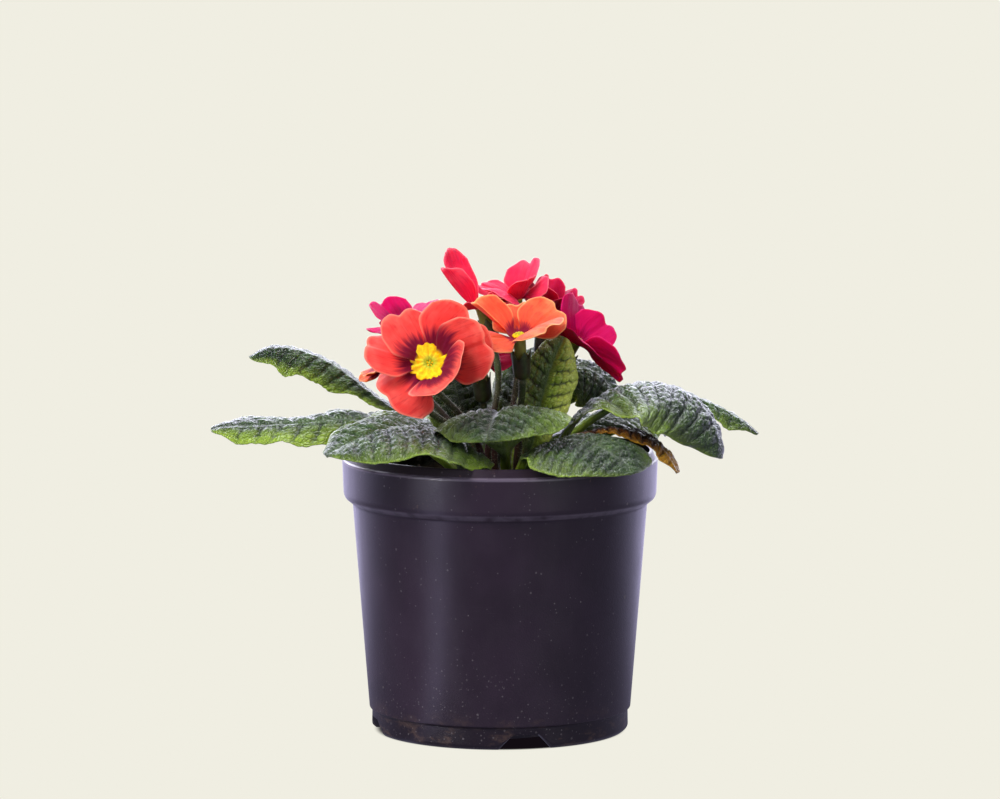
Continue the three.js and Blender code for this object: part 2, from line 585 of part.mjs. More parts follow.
// Each bloom: the middle of its face, the way that it looks, where its stalk stands and its petals.
// A petal has the clock angle of its middle line (degrees, clockwise from the top as the bloom is
// looked at), its length and half width, its slope at the root and the tip (degrees above the
// bloom's face), how its halves bend to the edges and how far it is turned about its middle line,
// so that the inner petals lie over the outer ones.
const BLOOMS = [
  {
    name: "bloom_front",
    centre: [-22.8, -40, 127.2],
    looks: [-0.06, -1, 0.6],
    foot: [-4.3, -7.4],
    colour: "coral",
    eye: 5.2,
    fine: true,
    petals: [
      { at: 44, length: 20.5, halfWidth: 12.2, slope: [18, 10], bend: [2, -18], turn: 26 },
      { at: 77, length: 21.3, halfWidth: 9.8, slope: [32, 20], bend: [4, 12], turn: 27 },
      { at: 143, length: 17.7, halfWidth: 11.6, slope: [38, 53], bend: [5, 30], turn: 15 },
      { at: 231, length: 17.7, halfWidth: 12, slope: [8, -10], bend: [-10, -46], turn: 12 },
      { at: 284, length: 21, halfWidth: 8.6, slope: [13, 9], bend: [-2, -18], turn: 26 },
      { at: 325, length: 19.5, halfWidth: 10.4, slope: [20, 6], bend: [2, 6], turn: 30 },
    ],
  },
  {
    name: "bloom_orange",
    centre: [6.4, -23, 133.8],
    looks: [-0.06, -0.24, 1],
    foot: [1.2, -4.8],
    colour: "orange",
    eye: 2.2,
    petals: [
      { at: 345, length: 15.5, halfWidth: 8.1, slope: [33, 25], bend: [-8, -32], turn: 4 },
      { at: 42, length: 16.5, halfWidth: 7.8, slope: [32, 20], bend: [2, 8], turn: 28 },
      { at: 120, length: 16, halfWidth: 9.4, slope: [60, -12], bend: [0, -4], turn: 4 },
      { at: 226, length: 15.5, halfWidth: 7.8, slope: [24, 4], bend: [-2, -18], turn: -10 },
      { at: 280, length: 18.5, halfWidth: 6.4, slope: [42, 38], bend: [12, 52], turn: 0 },
    ],
  },
  {
    name: "bloom_right",
    centre: [25, -0.6, 130],
    looks: [0.48, -0.1, 0.85],
    foot: [8.6, -1],
    colour: "magenta",
    eye: 2.2,
    petals: [
      { at: 350, length: 16, halfWidth: 8.2, slope: [34, 24], bend: [-2, -36], turn: 0 },
      { at: 62, length: 17, halfWidth: 8.6, slope: [42, 36], bend: [0, -18], turn: 32 },
      { at: 128, length: 13, halfWidth: 8, slope: [58, 54], bend: [6, 10], turn: 18 },
      { at: 198, length: 20, halfWidth: 8.2, slope: [8, -8], bend: [4, 16], turn: -40 },
      { at: 262, length: 16, halfWidth: 9.4, slope: [32, 8], bend: [-2, -8], turn: -8 },
    ],
  },
  {
    name: "bloom_top",
    centre: [5.4, 10.4, 143.4],
    looks: [-0.05, -0.14, 1],
    foot: [2.4, 4.2],
    colour: "pink",
    eye: 2.2,
    petals: [
      { at: 8, length: 15, halfWidth: 6.7, slope: [52, 38], bend: [12, 20], turn: -16 },
      { at: 66, length: 12, halfWidth: 6.6, slope: [42, 36], bend: [-12, -36], turn: -6 },
      { at: 128, length: 11, halfWidth: 5.1, slope: [54, 44], bend: [12, 36], turn: 8 },
      { at: 196, length: 12, halfWidth: 7.6, slope: [58, -12], bend: [-6, -26], turn: -14 },
      { at: 282, length: 13.4, halfWidth: 5.4, slope: [23, 12], bend: [0, -4], turn: -6 },
    ],
  },
  {
    name: "bloom_tall",
    centre: [-6.2, 2.6, 141.2],
    looks: [-0.3, 0.06, 1],
    foot: [-4.8, 0.6],
    colour: "pink",
    eye: 1.95,
    petals: [
      { at: 222, length: 23.4, halfWidth: 4.1, slope: [60, 86], bend: [4, 40], turn: 2 },
      { at: 306, length: 8.5, halfWidth: 4.4, slope: [0, -24], bend: [4, 10], turn: -8 },
      { at: 18, length: 9.2, halfWidth: 6, slope: [2, -26], bend: [-2, -18], turn: 4 },
      { at: 84, length: 8.5, halfWidth: 5.3, slope: [30, 14], bend: [4, 8], turn: 10 },
      { at: 146, length: 18.5, halfWidth: 4.9, slope: [58, 70], bend: [14, 76], turn: 0 },
    ],
  },
  {
    name: "bloom_left",
    centre: [-31.5, 5, 134.4],
    looks: [-0.2, 0.04, 1],
    foot: [-9.4, 2.8],
    colour: "magenta",
    eye: 4.4,
    petals: [
      { at: 12, length: 13, halfWidth: 6.8, slope: [30, 20], bend: [4, -12], turn: 24 },
      { at: 84, length: 13.5, halfWidth: 6.4, slope: [31, 13], bend: [6, -8], turn: 0 },
      { at: 156, length: 11.5, halfWidth: 7.3, slope: [19, 5], bend: [-2, -36], turn: -2 },
      { at: 224, length: 15, halfWidth: 6.9, slope: [41, 43], bend: [8, 24], turn: -2 },
      { at: 300, length: 14, halfWidth: 8.7, slope: [35, 25], bend: [-4, -40], turn: 2 },
    ],
  },
  {
    name: "bloom_low",
    centre: [-35.5, -12, 124.2],
    looks: [-0.6, -0.1, 0.85],
    foot: [-8.6, -4.2],
    colour: "orange",
    eye: 3.8,
    plain: true,
    petals: [
      { at: 350, length: 11, halfWidth: 5.3, slope: [25, 13], bend: [4, -12], turn: 0 },
      { at: 62, length: 11, halfWidth: 5, slope: [17, 7], bend: [0, -24], turn: 0 },
      { at: 134, length: 11, halfWidth: 5.3, slope: [25, 13], bend: [4, -12], turn: 2 },
      { at: 206, length: 11, halfWidth: 5.3, slope: [19, 7], bend: [0, -28], turn: 0 },
      { at: 278, length: 11, halfWidth: 5.6, slope: [22, 10], bend: [4, -12], turn: 18 },
    ],
  },
  {
    name: "bloom_right_back",
    centre: [15.6, 24.9, 136.6],
    looks: [0.12, -0.1, 1],
    foot: [5.2, 10],
    colour: "crimson",
    eye: 2.1,
    plain: true,
    petals: [
      { at: 340, length: 12.5, halfWidth: 6.9, slope: [56, 46], bend: [8, 32], turn: 26 },
      { at: 52, length: 13, halfWidth: 5.6, slope: [65, 59], bend: [12, 48], turn: 0 },
      { at: 124, length: 12.5, halfWidth: 6.9, slope: [45, 37], bend: [-2, -6], turn: 10 },
      { at: 196, length: 12, halfWidth: 6, slope: [53, 41], bend: [0, 8], turn: 14 },
      { at: 268, length: 12, halfWidth: 6.3, slope: [57, 55], bend: [8, 28], turn: 14 },
    ],
  },
  {
    name: "bloom_inner",
    centre: [-7, 15.5, 121.5],
    looks: [-0.1, -0.2, 1],
    foot: [-1.6, 9.2],
    colour: "crimson",
    eye: 4,
    plain: true,
    petals: [
      { at: 0, length: 13, halfWidth: 6.9, slope: [17, 5], bend: [0, -32], turn: -2 },
      { at: 72, length: 11.4, halfWidth: 7.2, slope: [22, 8], bend: [4, -12], turn: 22 },
      { at: 144, length: 10.5, halfWidth: 5.2, slope: [31, 15], bend: [6, -8], turn: -2 },
      { at: 216, length: 10.5, halfWidth: 5.2, slope: [21, 9], bend: [0, -32], turn: 2 },
      { at: 288, length: 13, halfWidth: 6, slope: [27, 11], bend: [6, -8], turn: 0 },
    ],
  },
];

/** The bloom's own directions: out of its face, towards its top and to its right. */
function bloomFrame(bloom) {
  const out = new THREE.Vector3(...bloom.looks).normalize();
  const top = new THREE.Vector3(0, 0, 1).addScaledVector(out, -out.z).normalize();
  const right = top.clone().cross(out);
  const centre = new THREE.Vector3(...bloom.centre);
  const point = (clock, radius, height) => centre.clone()
    .addScaledVector(top, radius * Math.cos(clock))
    .addScaledVector(right, radius * Math.sin(clock))
    .addScaledVector(out, height);
  return { out, top, right, centre, point };
}

/** Half width of a petal, 0 to 1: a narrow claw, then a broad lobe. */
function petalOutline(along) {
  return 0.2 + 0.8 * Math.sin((Math.PI / 2) * smoothstep(along, -0.05, 0.75)) ** 1.2;
}

/** How far the petal's edge reaches across its width: rounded corners and a notch in the middle. */
function petalReach(fraction) {
  return 1 - 0.34 * Math.abs(fraction) ** 3.2 - 0.1 * Math.exp(-((fraction / 0.2) ** 2));
}

/** The angle round the bloom where one petal's claw ends and the next one's begins. */
function clawEdges(petals) {
  return petals.map((petal, index) => {
    const next = petals[(index + 1) % petals.length];
    const gap = (next.at - petal.at + 360) % 360;
    return petal.at + gap / 2;
  });
}

/** The rows of one petal's blade, from near the throat to the tip, as upper and lower points. */
function petalRows(frame, petal, across, steps) {
  const clock = degToRad(petal.at);
  const outward = frame.top.clone().multiplyScalar(Math.cos(clock))
    .addScaledVector(frame.right, Math.sin(clock));
  return steps.map((along) => {
    const opened = smoothstep(along, 0, 0.3);
    return across.map((fraction) => {
      const run = along * petal.length * petalReach(fraction);
      const [from, to] = petal.slope.map(degToRad);
      const [far, high] = arcPoint(run, from, to, petal.length);
      const slope = from + (to - from) * (run / petal.length);
      const forward = outward.clone().multiplyScalar(Math.cos(slope))
        .addScaledVector(frame.out, Math.sin(slope));
      const flat = outward.clone().multiplyScalar(-Math.sin(slope))
        .addScaledVector(frame.out, Math.cos(slope));
      const turn = degToRad(petal.turn) * opened;
      const side = forward.clone().cross(flat).applyAxisAngle(forward, turn);
      const up = flat.clone().applyAxisAngle(forward, turn);
      const halfWidth = petal.halfWidth * petalOutline(along);
      const [fromBend, toBend] = petal.bend.map((bend) => degToRad(bend) * opened);
      const [out, rise] = arcPoint(Math.abs(fraction) * halfWidth, fromBend, toBend, halfWidth);
      const angle = fromBend + (toBend - fromBend) * Math.abs(fraction);
      const middle = frame.centre.clone()
        .addScaledVector(outward, THROAT_RADIUS + far)
        .addScaledVector(frame.out, high)
        .addScaledVector(side, Math.sign(fraction) * out)
        .addScaledVector(up, rise);
      const normal = up.clone().multiplyScalar(Math.cos(angle))
        .addScaledVector(side, -Math.sign(fraction) * Math.sin(angle));
      return {
        upper: middle.clone().addScaledVector(normal, PETAL_THICKNESS / 2),
        lower: middle.clone().addScaledVector(normal, -PETAL_THICKNESS / 2),
      };
    });
  });
}

/**
 * All petals and the tube of one bloom as one closed shell. Each petal's claw fills most of its
 * share of the throat, and a strip of the rim closes the gap to the next claw.
 */
function petalsGeometry(bloom) {
  const frame = bloomFrame(bloom);
  const across = bloom.plain ? [-1, -0.5, 0, 0.5, 1] : [-1, -0.68, -0.34, 0, 0.34, 0.68, 1];
  const steps = bloom.fine ? [0.2, 0.48, 0.76, 1] : [0.24, 0.62, 1];
  const edges = clawEdges(bloom.petals);
  const count = bloom.petals.length;
  const shell = new Shell();
  const rootClocks = bloom.petals.flatMap((petal, index) => {
    const from = edges[(index + count - 1) % count];
    const start = from > petal.at ? from - 360 : from;
    return across.map((fraction) => degToRad(lerp(start, edges[index], 0.5 + 0.5 * CLAW_SHARE * fraction)));
  });
  const rootUpper = shell.ring(rootClocks.map((clock) => frame.point(clock, THROAT_RADIUS - 0.2, 0.3)));
  const rootLower = shell.ring(rootClocks.map((clock) => frame.point(clock, TUBE_RADIUS, -0.35)));
  const tubeEnd = shell.ring(rootClocks.map((clock) => frame.point(clock, TUBE_RADIUS - 0.1, -TUBE_LENGTH)));
  const [throat] = shell.ring([frame.point(0, 0, -THROAT_DEPTH)]);
  shell.fan(throat, [...rootUpper].reverse());
  shell.strip(rootLower, tubeEnd, true);
  shell.fan(tubeEnd[0], tubeEnd);
  bloom.petals.forEach((petal, index) => {
    const first = index * across.length;
    const last = first + across.length - 1;
    const next = (last + 1) % rootClocks.length;
    shell.quad(rootUpper[last], rootUpper[next], rootLower[next], rootLower[last]);
    let near = { upper: rootUpper.slice(first, last + 1), lower: rootLower.slice(first, last + 1) };
    for (const row of petalRows(frame, petal, across, steps)) {
      const far = {
        upper: shell.ring(row.map((point) => point.upper)),
        lower: shell.ring(row.map((point) => point.lower)),
      };
      shell.blade(near, far);
      near = far;
    }
    shell.strip(near.upper, near.lower, false);
  });
  return shell.geometry();
}

/** The yellow star round the throat: two points to each petal, and a plug down the throat. */
function eyeGeometry(bloom) {
  const frame = bloomFrame(bloom);
  const slope = Math.max(...bloom.petals.map((petal) => petal.slope[0]));
  const points = bloom.petals.length * 4;
  const lift = 0.3 + CLEARANCE + 0.35;
  const clocks = Array.from({ length: points }, (_, i) => degToRad(bloom.petals[0].at + (i * 360) / points));
  const starRadius = (i) => bloom.eye * (i % 2 ? 1 : 0.8);
  const heightAt = (radius) => Math.max(0, radius - THROAT_RADIUS) * Math.tan(degToRad(slope)) + lift;
  const shell = new Shell();
  const rim = (height) => shell.ring(clocks.map((clock, i) => {
    const radius = starRadius(i);
    return frame.point(clock, radius, heightAt(radius) + height + 0.05 * radius);
  }));
  const lowerRim = rim(0);
  const upperRim = rim(0.7);
  const neck = shell.ring(clocks.map((clock) => frame.point(clock, THROAT_RADIUS - 0.6, lift)));
  const lip = shell.ring(clocks.map((clock) => frame.point(clock, 1.5, lift + 1.1)));
  const [plug] = shell.ring([frame.point(0, 0, -1.6)]);
  const [well] = shell.ring([frame.point(0, 0, 0.3)]);
  shell.strip(lowerRim, neck, true);
  shell.strip(upperRim, lowerRim, true);
  shell.strip(lip, upperRim, true);
  shell.fan(plug, neck);
  shell.fan(well, [...lip].reverse());
  return shell.geometry();
}

/** The hairy stalk and the five-toothed green cup that holds the tube, as one closed shell. */
function stalkGeometry(bloom) {
  const frame = bloomFrame(bloom);
  const teeth = 5;
  const clocks = Array.from({ length: 2 * teeth }, (_, i) => (i * Math.PI) / teeth);
  const shell = new Shell();
  const top = frame.point(0, 0, -CUP_LENGTH - 0.9);
  const [x, y] = bloom.foot;
  const foot = new THREE.Vector3(x, y, COMPOST_TOP - FOOT_DEPTH);
  const curve = new THREE.CubicBezierCurve3(
    foot,
    foot.clone().add(new THREE.Vector3(0, 0, 28)),
    top.clone().addScaledVector(frame.out, -16),
    top,
  );
  const stalkSteps = [0, 0.16, 0.36, 0.56, 0.78, 1];
  const rings = stalkSteps.map((step) => {
    const centre = curve.getPoint(step);
    const forward = curve.getTangent(step);
    const up = frame.top.clone().addScaledVector(forward, -frame.top.dot(forward)).normalize();
    const side = up.clone().cross(forward);
    return shell.ring(clocks.map((clock) => centre.clone()
      .addScaledVector(up, STALK_RADIUS * Math.cos(clock))
      .addScaledVector(side, STALK_RADIUS * Math.sin(clock))));
  });
  const cupRing = (radius, ridge, height, tooth) => shell.ring(clocks.map((clock, i) => {
    const point = i % 2 === 0;
    return frame.point(clock, radius + (point ? ridge : 0), height + (point ? tooth : 0));
  }));
  rings.push(cupRing(CUP_RADIUS - 0.5, 0.3, -CUP_LENGTH + 0.6, 0));
  rings.push(cupRing(CUP_RADIUS - 0.1, 0.4, -8.5, 0));
  rings.push(cupRing(CUP_RADIUS, 0.5, -6.6, 2.9));
  rings.push(cupRing(CUP_RADIUS - 0.75, 0.25, -6.6, 2.9));
  rings.push(cupRing(TUBE_RADIUS + 0.42, 0, -CUP_LENGTH + 0.9, 0));
  for (let i = 1; i < rings.length; i += 1) {
    shell.strip(rings[i], rings[i - 1], true);
  }
  const [floor] = shell.ring([frame.point(0, 0, -CUP_LENGTH + 0.65)]);
  shell.fan(floor, [...rings[rings.length - 1]].reverse());
  shell.fan(rings[0][0], rings[0]);
  return shell.geometry();
}

// ---- assembly ----------------------------------------------------------------------------------

function piece(name, geometry, colour, roughness) {
  const material = new THREE.MeshStandardMaterial({ color: colour, roughness, metalness: 0 });
  const mesh = new THREE.Mesh(geometry, material);
  mesh.name = name;
  return mesh;
}

const primrose = new THREE.Group();
primrose.name = "potted_primrose";

primrose.add(piece("pot", potGeometry(), COLOURS.pot, 0.45));

const leafFeet = LEAVES.map((leaf) => leaf.midrib[0]);
const stalkFeet = BLOOMS.map((bloom) => bloom.foot);
primrose.add(piece("compost", compostGeometry(leafFeet, stalkFeet), COLOURS.compost, 0.95));

for (const leaf of LEAVES) {
  primrose.add(piece(leaf.name, leafGeometry(leaf), leaf.old ? COLOURS.oldLeaf : COLOURS.leaf, 0.6));
}

for (const bloom of BLOOMS) {
  primrose.add(piece(`${bloom.name}_petals`, petalsGeometry(bloom), COLOURS[bloom.colour], 0.6));
  primrose.add(piece(`${bloom.name}_eye`, eyeGeometry(bloom), COLOURS.eye, 0.6));
  primrose.add(piece(`${bloom.name}_stalk`, stalkGeometry(bloom), COLOURS.stalk, 0.65));
}

export default primrose;
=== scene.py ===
"""A primrose in its nursery pot: fine surfaces, finishes, light and camera round the solid model.

Every shape is worked out in millimetres, +Z up, with the middle of the pot's base at the origin and
the front along -Y. The mesh builder turns millimetres into metres.
"""
import math

import bpy
import numpy as np
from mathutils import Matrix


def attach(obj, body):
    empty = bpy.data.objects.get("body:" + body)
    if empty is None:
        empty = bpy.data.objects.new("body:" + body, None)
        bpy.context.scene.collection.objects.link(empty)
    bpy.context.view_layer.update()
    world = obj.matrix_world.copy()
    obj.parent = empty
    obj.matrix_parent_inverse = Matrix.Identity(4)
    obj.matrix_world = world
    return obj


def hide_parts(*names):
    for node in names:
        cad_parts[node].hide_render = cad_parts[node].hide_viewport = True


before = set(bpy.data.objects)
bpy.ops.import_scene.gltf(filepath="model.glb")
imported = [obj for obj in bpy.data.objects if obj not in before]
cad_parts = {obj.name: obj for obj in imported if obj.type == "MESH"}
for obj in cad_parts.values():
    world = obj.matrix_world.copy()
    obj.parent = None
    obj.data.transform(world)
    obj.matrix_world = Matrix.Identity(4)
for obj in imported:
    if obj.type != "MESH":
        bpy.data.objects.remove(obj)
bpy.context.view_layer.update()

MM = 0.001
SCENE = bpy.context.scene

# ---- camera ----------------------------------------------------------------

CAMERA_AIM = (0.0, 0.0, 0.1107)
CAMERA_DISTANCE = 2.004
CAMERA_ELEVATION = 7.1
CAMERA_LENS, CAMERA_SENSOR = 216.9, 36.0
CAMERA_REACH = 50.0


def place_camera():
    """Looks along +Y and slightly down, far off, with a long lens."""
    lens = bpy.data.cameras.new("camera")
    lens.lens = CAMERA_LENS
    lens.sensor_width = CAMERA_SENSOR
    lens.clip_end = CAMERA_REACH
    camera = bpy.data.objects.new("camera", lens)
    rise = math.radians(CAMERA_ELEVATION)
    camera.location = (
        CAMERA_AIM[0],
        CAMERA_AIM[1] - CAMERA_DISTANCE * math.cos(rise),
        CAMERA_AIM[2] + CAMERA_DISTANCE * math.sin(rise),
    )
    camera.rotation_euler = (math.pi / 2 - rise, 0.0, 0.0)
    SCENE.collection.objects.link(camera)
    SCENE.camera = camera


# ---- the plant's numbers ---------------------------------------------------

COMPOST_TOP = 85.0
FOOT_DEPTH = 6.0
THROAT_RADIUS = 1.9
TUBE_RADIUS = 2.05
TUBE_LENGTH = 12.6
CUP_LENGTH = 13.6
STALK_RADIUS = 1.05

# Per leaf: midrib, from the compost to the tip; face, the way that its upper side looks; stalk, the
# share of bare stalk; widths of its left and right halves; widest, where along the blade; rib and
# edge, how both halves bend, in degrees, at the midrib and at the edge (foot, tip); wave of the
# edge (height, count, phase). Some have relief, how strongly the blade is puffed; glow, the light
# through its left and right halves, from the share glow_from of their width; tip_glow, the same at
# its tip; late, how late its bends change; slot and finish, where they aren't the green leaf's.
LEAVES = {
    "leaf_left_upper": dict(
        midrib=[(-15, 3.5), (-21, 4.5, 94), (-32, 6, 104), (-43, 7, 113), (-56, 8.5, 122.5),
                (-68, 9.5, 127), (-77, 10, 127.6), (-84, 10.5, 124.2)],
        face=(-0.25, -0.1, 1), stalk=0.34, widths=(11, 10.5), widest=0.66, relief=0.6,
        glow=(0.9, 0), glow_from=0.6,
        rib=((-20, -18), (-20, -20)), edge=((-85, -70), (-75, -60)), wave=(0.8, 3, 0.4)),
    "leaf_left_lower": dict(
        midrib=[(-14.5, -3.5), (-22, -4.5, 93.5), (-35, -5, 101.6), (-50, -6, 105.2), (-66, -7, 104),
                (-82, -7, 103.2), (-91.5, -7, 102.8), (-96, -7, 101.8)],
        face=(0, -0.3, 1), stalk=0.22, widths=(10.8, 10.4), widest=0.6, relief=0.6,
        glow=(0.9, 0), glow_from=0.15,
        rib=((-6, -5), (0, 0)), edge=((-50, -35), (-25, -25)), wave=(1.3, 2.2, 2.6)),
    "leaf_front_left": dict(
        midrib=[(-12, -9.5), (-14.5, -13.5, 96), (-20, -21.5, 102.6), (-28.5, -31, 106),
                (-38.5, -39.5, 105.8), (-48.5, -46, 102.6), (-56.5, -50.5, 99)],
        face=(0.06, -0.28, 1), stalk=0.12, widths=(31, 20), widest=0.5,
        rib=((-7, 22), (8, 0)), edge=((-22, -14), (-8, -40)), wave=(1.8, 2.2, 2.4)),
    "leaf_front": dict(
        midrib=[(1.5, -13.5), (1.6, -17, 98.5), (1.2, -25, 107.8), (-0.6, -34, 111), (-2.6, -43, 109.8),
                (-4, -50.5, 106.2), (-4.6, -53.5, 103.8)],
        face=(-0.17, -0.1, 1), stalk=0.24, widths=(26, 21.5), widest=0.6, relief=1.5,
        rib=((6, 2), (6, 6)), edge=((-18, -36), (-8, -30)), wave=(1, 3, 0)),
    "leaf_front_right": dict(
        midrib=[(9, -14.5), (12, -18.5, 94.5), (19.5, -26, 100.4), (28, -34.5, 101.6), (35, -42, 99.4),
                (40.5, -48, 96), (43, -50.8, 93)],
        face=(-0.02, -0.1, 1), stalk=0.2, widths=(21.5, 28.5), widest=0.62, relief=1.2,
        rib=((0, 0), (-4, -4)), edge=((-20, -34), (-2, -12)), wave=(0.7, 2, 1)),
    "leaf_right": dict(
        midrib=[(15, -1.5), (19.5, -2, 96), (28, -4, 108.5), (39, -7, 115.6), (51, -10, 117.6),
                (63, -14.5, 114.4), (70.5, -19, 106.4), (73, -22, 98.5), (73, -23.2, 94)],
        face=(0.4, -0.1, 1), stalk=0.2, widths=(20, 31), widest=0.64, late=1.5,
        rib=((-6, -30), (-6, -8)), edge=((-40, -60), (-27, -36)), wave=(1.2, 3.2, 2.2)),
    "leaf_old_right": dict(
        midrib=[(14, -9), (19.5, -10.5, 95.5), (29, -12.8, 101.6), (39, -15, 103.4), (48, -18, 101.4),
                (55, -20.5, 96), (59, -22.5, 89.5)],
        face=(-0.15, 0.25, 1), stalk=0.34, widths=(8, 6), widest=0.6,
        rib=((-10, -5), (-20, -25)), edge=((-20, 20), (-40, -50)), wave=(0.6, 3, 0.9),
        slot="old_leaf", tip_glow=0.9),
    "leaf_far_right": dict(
        midrib=[(14, 6), (20, 9, 94), (33, 15, 104), (48, 19.5, 110), (62, 20.5, 110.5),
                (75, 18.5, 105.8), (83.5, 17, 100.6), (87, 16.5, 97.4)],
        face=(0.1, 0, 1), stalk=0.4, widths=(8, 8), widest=0.58,
        rib=((-25, -25), (-25, -25)), edge=((-60, -50), (-60, -50)), wave=(0.8, 3, 1.6)),
    "leaf_right_inner": dict(
        midrib=[(8.5, 5), (11.5, 7, 98), (14.5, 9.5, 109), (19.5, 11.5, 117.5), (26.5, 12, 120.8),
                (33.5, 12, 118), (38.5, 12, 112), (40.5, 12, 107)],
        face=(0.1, -0.45, 1), stalk=0.34, widths=(12, 15), widest=0.58,
        rib=((-8, -10), (-10, -15)), edge=((-50, -50), (-60, -60)), wave=(0.9, 3, 0.2)),
    "leaf_upright": dict(
        midrib=[(6.5, -8), (10.8, -10.6, 97), (13, -12.5, 108), (15.5, -13.8, 118.5), (19, -14.3, 128.6),
                (21.2, -14.3, 133.2)],
        face=(-0.1, -1, 0.15), stalk=0.24, widths=(9.2, 9.9), widest=0.6,
        glow=(0.4, 2.0), glow_from=-0.6,
        rib=((12, 5), (12, 5)), edge=((-40, -40), (-32, -40)), wave=(0.6, 2.5, 0.8)),
    "leaf_back_inner": dict(
        midrib=[(-7.2, 7.6), (-10, 14, 96), (-13, 21.5, 104.5), (-15, 28, 112), (-17, 33, 116.5),
                (-19, 37, 118.5)],
        face=(0.1, -1, 0.8), stalk=0.24, widths=(12, 13.6), widest=0.6,
        rib=((-4, -8), (-4, -8)), edge=((-30, -40), (-40, -40)), wave=(0.9, 2.5, 2.8),
        finish="shaded_inner_leaf"),
    "leaf_back_left": dict(
        midrib=[(-13, 10.5), (-18, 14, 93.5), (-29, 20.5, 101.6), (-38.5, 29.5, 103), (-46, 38, 99.5),
                (-52.5, 44, 95.5)],
        face=(0, 0, 1), stalk=0.26, widths=(17, 17), widest=0.58,
        rib=((-2, -10), (-2, -10)), edge=((-35, -45), (-35, -45)), wave=(1.2, 2.4, 1.9)),
    "leaf_back": dict(
        midrib=[(-5, 14.5), (-6.5, 20, 93.5), (-9, 32, 101.4), (-10.5, 46, 104), (-11.5, 58, 101.8),
                (-12, 66, 97.4)],
        face=(0, 0, 1), stalk=0.26, widths=(18, 18), widest=0.58,
        rib=((-4, -10), (-4, -10)), edge=((-32, -45), (-32, -45)), wave=(1.2, 2.6, 0.6)),
    "leaf_back_middle": dict(
        midrib=[(3, 15), (5.5, 19, 98), (9, 25, 110), (14, 32, 119), (19.5, 40, 122.5), (25, 48.5, 120)],
        face=(0, -0.7, 1), stalk=0.24, widths=(19, 17.5), widest=0.6,
        rib=((-5, -10), (-5, -10)), edge=((-40, -50), (-40, -50)), wave=(1.2, 2.6, 2.1),
        finish="shaded_inner_leaf"),
    "leaf_back_right": dict(
        midrib=[(10.5, 12.5), (15, 15.5, 93.5), (25, 22, 99.8), (37, 31, 102.4), (48, 40, 99.8),
                (55, 46, 94.6)],
        face=(0, 0, 1), stalk=0.26, widths=(17, 17), widest=0.58,
        rib=((-2, -10), (-2, -10)), edge=((-30, -45), (-30, -45)), wave=(1.2, 2.4, 1.1)),
}

